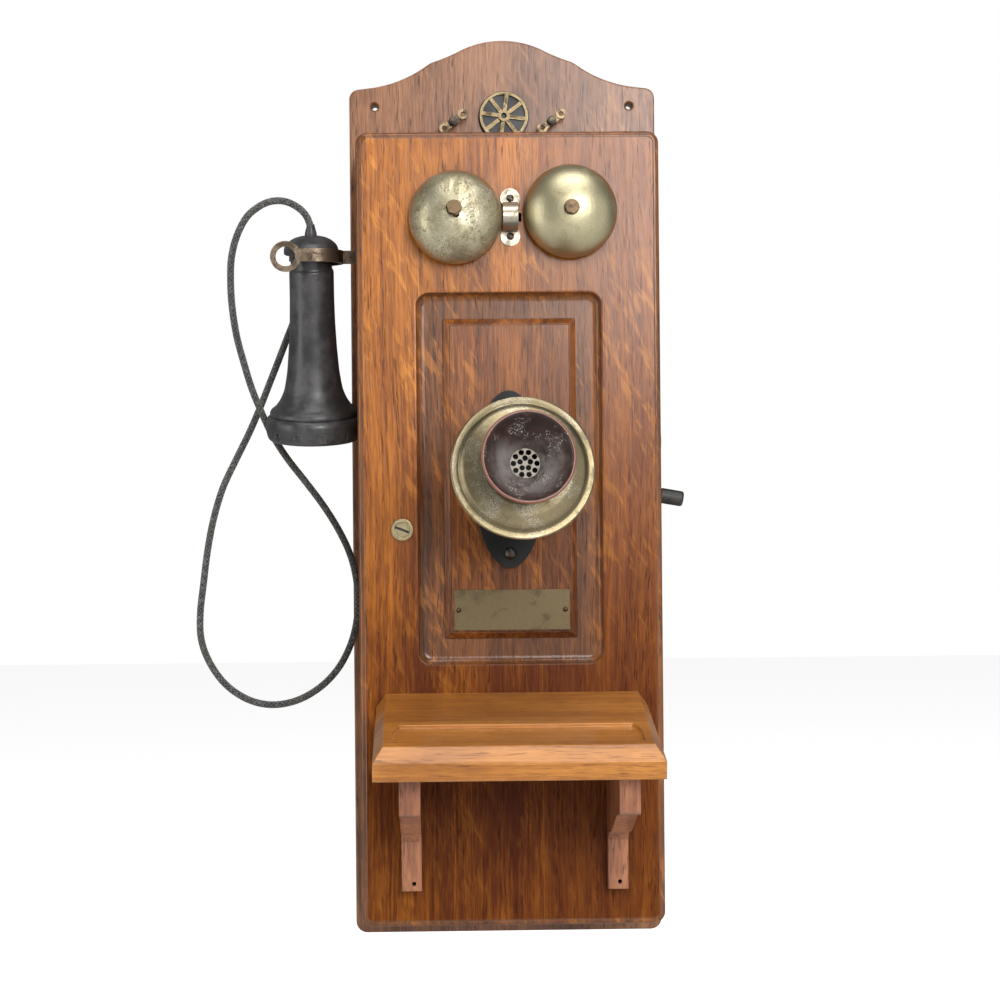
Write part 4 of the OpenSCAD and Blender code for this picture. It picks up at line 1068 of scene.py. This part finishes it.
class TELEPHONE_OT_door(bpy.types.Operator):
    """Build the panelled door with its moulded edge, cove and raised field"""

    bl_idname = "telephone.door"
    bl_label = "Panelled Door"

    def execute(self, context):
        front, back = DOOR_FACE / MM, DOOR_BACK / MM
        width, height = 208, 543.5
        middle = -306.25
        panel_middle = -272
        panel_width, panel_height = 126.5, 254
        field_x = 0.3
        round_r = 3
        cove_r = 5
        rings = []

        def outer(inset, y):
            corner = max(8 - inset, 4)
            rings.append((width - 2 * inset, height - 2 * inset, corner, 0, middle, y))

        def panel(inset, depth, corner):
            across, high = panel_width - 2 * inset, panel_height - 2 * inset
            rings.append((across, high, corner, 0, panel_middle, front + depth))

        def field(across, high, depth):
            rings.append((across, high, 0.8, field_x, panel_middle, front + depth))

        outer(0.8, back)
        outer(0, back - 0.8)
        outer(0, front + 3.8)
        for i in range(1, 6):
            turn = math.radians(18 * i)
            outer(round_r * (1 - math.cos(turn)), front + 3.8 - round_r * math.sin(turn))
        outer(3.5, front + 0.8)
        outer(3.8, front + 0.3)
        outer(4.3, front)
        outer(4.9, front)
        panel(-1.4, 0, 10.4)
        panel(-0.7, 0, 9.7)
        panel(-0.2, 0.2, 9.2)
        for i in range(7):
            turn = math.radians(15 * i)
            inset = cove_r * (1 - math.cos(turn))
            panel(inset, 0.7 + 5.3 * math.sin(turn), 9 - inset)
        panel(5.5, 6, 4)
        field(91.8, 219.8, 6)
        field(91, 219, 6)
        field(91, 219, 4.4)
        field(90.4, 218.4, 4)
        field(83.2, 211.2, 1.2)
        field(82.4, 210.4, 1.2)
        field(82, 210, 0.8)
        field(81.2, 209.2, 0)
        field(80, 208, 0)
        clapper_slot = box_bm((-2.6, front - 1, -96.5), (9.4, back + 1, -90.5))
        lock_hole = peg_bm((-74.2, (front + back) / 2, -306.7), 6.5, 24)
        cutters = [clapper_slot, lock_hole]
        for z in (-110, -500):
            cutters.append(box_bm((90.4, back - 1.4, z - 22), (103, back + 1, z + 22)))
            cutters.append(peg_bm((102.4, -118.7, z), 2.9, 54, "Z"))
        bm = cut(nested(rings), cutters)
        self.tone_field_and_shade_recess(bm, front)
        field_tone_and_recess_shade = ("oak_recess_painted_shade", "oak_field")
        mesh_piece("oak_door", bm, "door", "oak_door", ("door_board",), extra=field_tone_and_recess_shade, angle=28)
        return {"FINISHED"}

    def tone_field_and_shade_recess(self, bm, front):
        """Gives the raised field its own tone, and paints shade with the darker recess oak on the sunk cove
        round it and on the round-over and quirk of the door's edge.
        """
        for face in bm.faces:
            middle = face.calc_center_median() / MM
            if face.normal.y > 0.5 or middle.y > front + 6.5:
                continue
            across = abs(middle.x - 0.3)
            high = abs(middle.z + 272)
            if across < 45.6 and high < 109.6 and middle.y < front + 5.9:
                face.material_index = 2
            # painted shade: the sunk cove, and below it the round-over and quirk of the edge, take the darker
            # recess oak
            elif across < 63.2 and high < 127 and middle.y > front + 0.4:
                face.material_index = 1
            elif middle.y > front + 0.1 and middle.y < front + 4:
                face.material_index = 1


class TELEPHONE_OT_shelf(bpy.types.Operator):
    """Build the writing shelf and its two brackets"""

    bl_idname = "telephone.shelf"
    bl_label = "Writing Shelf"

    def execute(self, context):
        softened("shelf_board", 0.7 * MM, 3, 20)
        softened("shelf_brackets", 1.1 * MM, 3, 30)
        return {"FINISHED"}


class TELEPHONE_OT_bells(bpy.types.Operator):
    """Turn the two gongs and finish their posts, bolts, clapper and guard"""

    bl_idname = "telephone.bells"
    bl_label = "Bells"

    def execute(self, context):
        radius, height, wall, skirt = 31.8, 24, 1.6, 3
        outside = [(radius, 0), (radius, skirt)]
        inside = []
        for i in range(1, 15):
            turn = math.radians(90 * i / 15)
            rise = height - skirt
            outside.append((radius * math.cos(turn), skirt + rise * math.sin(turn)))
            inside.append(((radius - wall) * math.cos(turn), skirt + (rise - wall) * math.sin(turn)))
        bore = [(2.4, height), (2.4, height - wall)]
        profile = [*outside, *bore, *reversed(inside), (radius - wall, 0)]
        for side, x, z in (("left", -35.9, -94), ("right", 42.7, -90.5)):
            centre = Matrix.Translation(Vector((x, GONG_RIM / MM, z)) * MM)
            axes = centre @ Matrix.Rotation(math.radians(90), 4, "X")
            bm = turned(profile, axes, 0.7, 128, closed=True)
            node = "gong_" + side
            bell = mesh_piece("bell_" + side, bm, "door", "gong_metal", (node,), angle=45)
            if side == "left":
                bell.data.materials[0] = finish("gong_pitted")
        softened("gong_posts", 0.4 * MM)
        softened("gong_bolts", 0.5 * MM, 3)
        softened("clapper_guard", 0.3 * MM, 2)
        softened("clapper", 0.25 * MM)
        return {"FINISHED"}


class TELEPHONE_OT_fittings(bpy.types.Operator):
    """Finish the arrester, terminals, hinges, lock, nameplate and screws"""

    bl_idname = "telephone.fittings"
    bl_label = "Door and Board Fittings"

    def execute(self, context):
        widths = {
            "arrester_base": 0.6, "arrester_wheel": 0.35, "binding_posts": 0.4, "binding_nuts": 0.5,
            "cabinet_hinge_leaves": 0.2, "hinge_pins": 0.3, "door_hinge_leaves": 0.2,
            "lock_barrel": 0.5, "lock_plug": 0.25, "nameplate": 0.35, "nameplate_pins": 0.2,
            "door_screws": 0.2, "cord_gland": 0.6,
        }
        for node, width in widths.items():
            softened(node, width * MM)
        self.shade_key_slot(bpy.data.objects["lock_plug_piece"])
        return {"FINISHED"}

    def shade_key_slot(self, plug):
        """Paints shade: blackens the floor and sides of the slot in the lock's plug, standing in for the dark
        keyway.
        """
        plug.data.materials.append(finish("terminal_black"))
        floor = DOOR_FACE
        for face in plug.data.polygons:
            if floor - 0.9 * MM < face.center.y < floor + 0.1 * MM:
                face.material_index = 1


class TELEPHONE_OT_transmitter(bpy.types.Operator):
    """Turn the transmitter's cup, faceplate and mouthpiece and finish its casting"""

    bl_idname = "telephone.transmitter"
    bl_label = "Transmitter"

    def execute(self, context):
        softened("transmitter_base", 1.2 * MM, 3, 30)
        softened("transmitter_pivot", 0.5 * MM)
        softened("transmitter_arm", 1.0 * MM, 3, 30)
        softened("mouthpiece_grille", 0.2 * MM)
        cup = [(0, 50), (16, 50), (30, 53), (37, 57), (39.5, 62), (40.5, 78), (38.5, 78), (37.5, 63),
               (35.5, 59), (29, 55.2), (15, 52.2), (0, 52.2)]
        face = [(10, 86), (36.8, 82.4), (38.3, 78), (46.4, 78), (47.4, 79.2), (46.7, 80.2), (45, 80.3),
                (42.4, 80.6), (40.9, 82), (39, 83.4), (33, 85.6), (26, 87.4), (10, 88)]
        mouth = [(17, 88), (17, 90.5), (14.6, 92.5), (14.4, 95), (15.6, 99), (18.4, 104), (22.6, 109.4),
                 (27.4, 114), (30.2, 116.2), (30.6, 117.2), (30, 118.3), (28.8, 118.5), (27.7, 117.6),
                 (24, 112), (19.8, 107), (15.8, 102.5), (12.6, 98.8), (10.6, 96.2), (9.8, 95.2), (9.8, 94.4),
                 (11.6, 94.4), (11.6, 92.9), (10.2, 92.9), (10.2, 88)]
        made = (
            ("cup_shell", cup, "transmitter_cup", 1.5, False),
            ("turned_faceplate", face, "transmitter_faceplate", 1.0, True),
            ("turned_mouthpiece", mouth, "transmitter_mouthpiece", 2.0, True),
        )
        for name, profile, node, radius, closed in made:
            bm = turned(profile, TRANSMITTER_AXES, radius, 128, closed)
            if node == "transmitter_mouthpiece":
                self.mark_wear(bm)
            if node == "transmitter_faceplate":
                self.mark_channel(bm)
            mesh_piece(name, bm, "transmitter", SLOTS[node], (node,), angle=45)
        return {"FINISHED"}

    def mark_wear(self, bm):
        """Stores how near each point is to the rim, and how much grey dust and painted sheen lie in the lower
        bowl towards its neck.
        """
        rim = bm.verts.layers.float.new("rim")
        dust_and_sheen = bm.verts.layers.float.new("dust_and_sheen")
        flat = TRANSMITTER_AXES.inverted()
        for vert in bm.verts:
            place = flat @ vert.co / MM
            radius = math.hypot(place.x, place.y)
            vert[rim] = 1.0 if radius > 28.9 else 0.0
            lower_bowl = min(max((16 - place.y) / 10, 0), 1)
            vert[dust_and_sheen] = min(max((28 - radius) / 12, 0), 1) * lower_bowl

    def mark_channel(self, bm):
        """Stores where the channel inside the faceplate's rim is darkened."""
        dirt = bm.verts.layers.float.new("dirt")
        flat = TRANSMITTER_AXES.inverted()
        for vert in bm.verts:
            place = flat @ vert.co / MM
            vert[dirt] = 1.0 if 40.2 < math.hypot(place.x, place.y) < 46.6 else 0.0


class TELEPHONE_OT_crank(bpy.types.Operator):
    """Finish the generator crank and its grip"""

    bl_idname = "telephone.crank"
    bl_label = "Crank"

    def execute(self, context):
        softened("crank_handle", 0.8 * MM, 3)
        softened("crank_grip", 0.4 * MM, 2)
        return {"FINISHED"}


class TELEPHONE_OT_hook(bpy.types.Operator):
    """Finish the switch hook with its fork and ring"""

    bl_idname = "telephone.hook"
    bl_label = "Switch Hook"

    def execute(self, context):
        softened("hook_lever", 0.6 * MM, 3)
        return {"FINISHED"}


class TELEPHONE_OT_receiver(bpy.types.Operator):
    """Turn the receiver's shell and its two caps"""

    bl_idname = "telephone.receiver"
    bl_label = "Receiver"

    def execute(self, context):
        shell = [(8, 14), (14.6, 14), (14.6, 24), (15.7, 25.5), (15.7, 46), (16.1, 62), (17, 79),
                 (18.4, 96), (19.8, 105), (20.8, 110), (22.4, 114), (24.4, 118), (27.2, 121.6),
                 (30.4, 124), (31.4, 126), (31.4, 128.4), (27, 128.4), (26, 126), (22, 121), (18, 116),
                 (15.4, 105), (13.4, 80), (12, 50), (12, 26), (11, 24), (5, 24), (5, 6), (8, 6)]
        tail = [(0, 0.6), (6, 0.8), (11, 2), (15.2, 4.2), (18, 7), (19.2, 9.6), (19.2, 13.2),
                (18.4, 14), (8, 14), (8, 3.6), (0, 3.6)]
        ear = [(27, 128.4), (31.6, 128.4), (33.4, 129.6), (34.5, 132.4), (34.5, 136), (33.9, 141),
               (32.7, 144.6), (30.9, 146), (20, 144.6), (10, 141.8), (6, 141.2), (6, 138.2), (27, 138.2)]
        for part, profile, radius, closed in (("shell", shell, 2.5, True), ("tail_cap", tail, 1.6, False)):
            bm = turned(profile, RECEIVER_AXES, radius, 128, closed)
            node = "receiver_" + part
            mesh_piece("turned_" + part, bm, "receiver", "receiver_rubber", (node,), angle=45)
        cap = turned(ear, RECEIVER_AXES, 1.2, 144, True)
        notches = []
        for i in range(12):
            notch = box_bm((32.9, -2.3, 137.5), (36.9, 2.3, 143.5))
            spin = Matrix.Rotation(math.radians(30 * i + 12), 4, "Z")
            bmesh.ops.transform(notch, matrix=RECEIVER_AXES @ spin, verts=notch.verts)
            bmesh.ops.recalc_face_normals(notch, faces=notch.faces)
            notches.append(notch)
        mesh_piece("notched_ear_cap", cut(cap, notches), "receiver", "receiver_rubber", ("receiver_ear_cap",))
        return {"FINISHED"}


class TELEPHONE_OT_works(bpy.types.Operator):
    """Give every part that stays as it is, most of them inside the case, its own finish"""

    bl_idname = "telephone.works"
    bl_label = "Inner Works"

    def execute(self, context):
        for node, thing in NODES.items():
            thing.data.materials.clear()
            thing.data.materials.append(finish(SLOTS[node]))
        return {"FINISHED"}


OPERATORS = (
    TELEPHONE_OT_stage,
    TELEPHONE_OT_cord,
    TELEPHONE_OT_case,
    TELEPHONE_OT_door,
    TELEPHONE_OT_shelf,
    TELEPHONE_OT_bells,
    TELEPHONE_OT_fittings,
    TELEPHONE_OT_transmitter,
    TELEPHONE_OT_crank,
    TELEPHONE_OT_hook,
    TELEPHONE_OT_receiver,
    TELEPHONE_OT_works,
)


class TELEPHONE_PT_panel(bpy.types.Panel):
    """Steps and settings of the telephone"""

    bl_idname = "TELEPHONE_PT_panel"
    bl_label = "Wall Telephone"
    bl_space_type = "VIEW_3D"
    bl_region_type = "UI"
    bl_category = "Telephone"

    def draw(self, context):
        layout = self.layout
        for label in ("Oak", "Metal", "Cord", "Stage"):
            group = getattr(context.scene, "telephone_" + label.lower())
            box = layout.box()
            box.label(text=label)
            for setting in group.bl_rna.properties:
                if setting.identifier not in ("rna_type", "name"):
                    box.prop(group, setting.identifier)
        for operator in OPERATORS:
            layout.operator(operator.bl_idname)


SETTINGS = {
    "telephone_oak": TELEPHONE_PG_oak,
    "telephone_metal": TELEPHONE_PG_metal,
    "telephone_cord": TELEPHONE_PG_cord,
    "telephone_stage": TELEPHONE_PG_stage,
}


def register():
    for name, group in SETTINGS.items():
        bpy.utils.register_class(group)
        setattr(bpy.types.Scene, name, PointerProperty(type=group))
    for operator in OPERATORS:
        bpy.utils.register_class(operator)
    bpy.utils.register_class(TELEPHONE_PT_panel)


def unregister():
    bpy.utils.unregister_class(TELEPHONE_PT_panel)
    for operator in reversed(OPERATORS):
        bpy.utils.unregister_class(operator)
    for name, group in reversed(SETTINGS.items()):
        delattr(bpy.types.Scene, name)
        bpy.utils.unregister_class(group)


def main():
    register()
    for operator in OPERATORS:
        step = operator.bl_idname.split(".")[1]
        getattr(bpy.ops.telephone, step)()


if __name__ == "__main__":
    main()
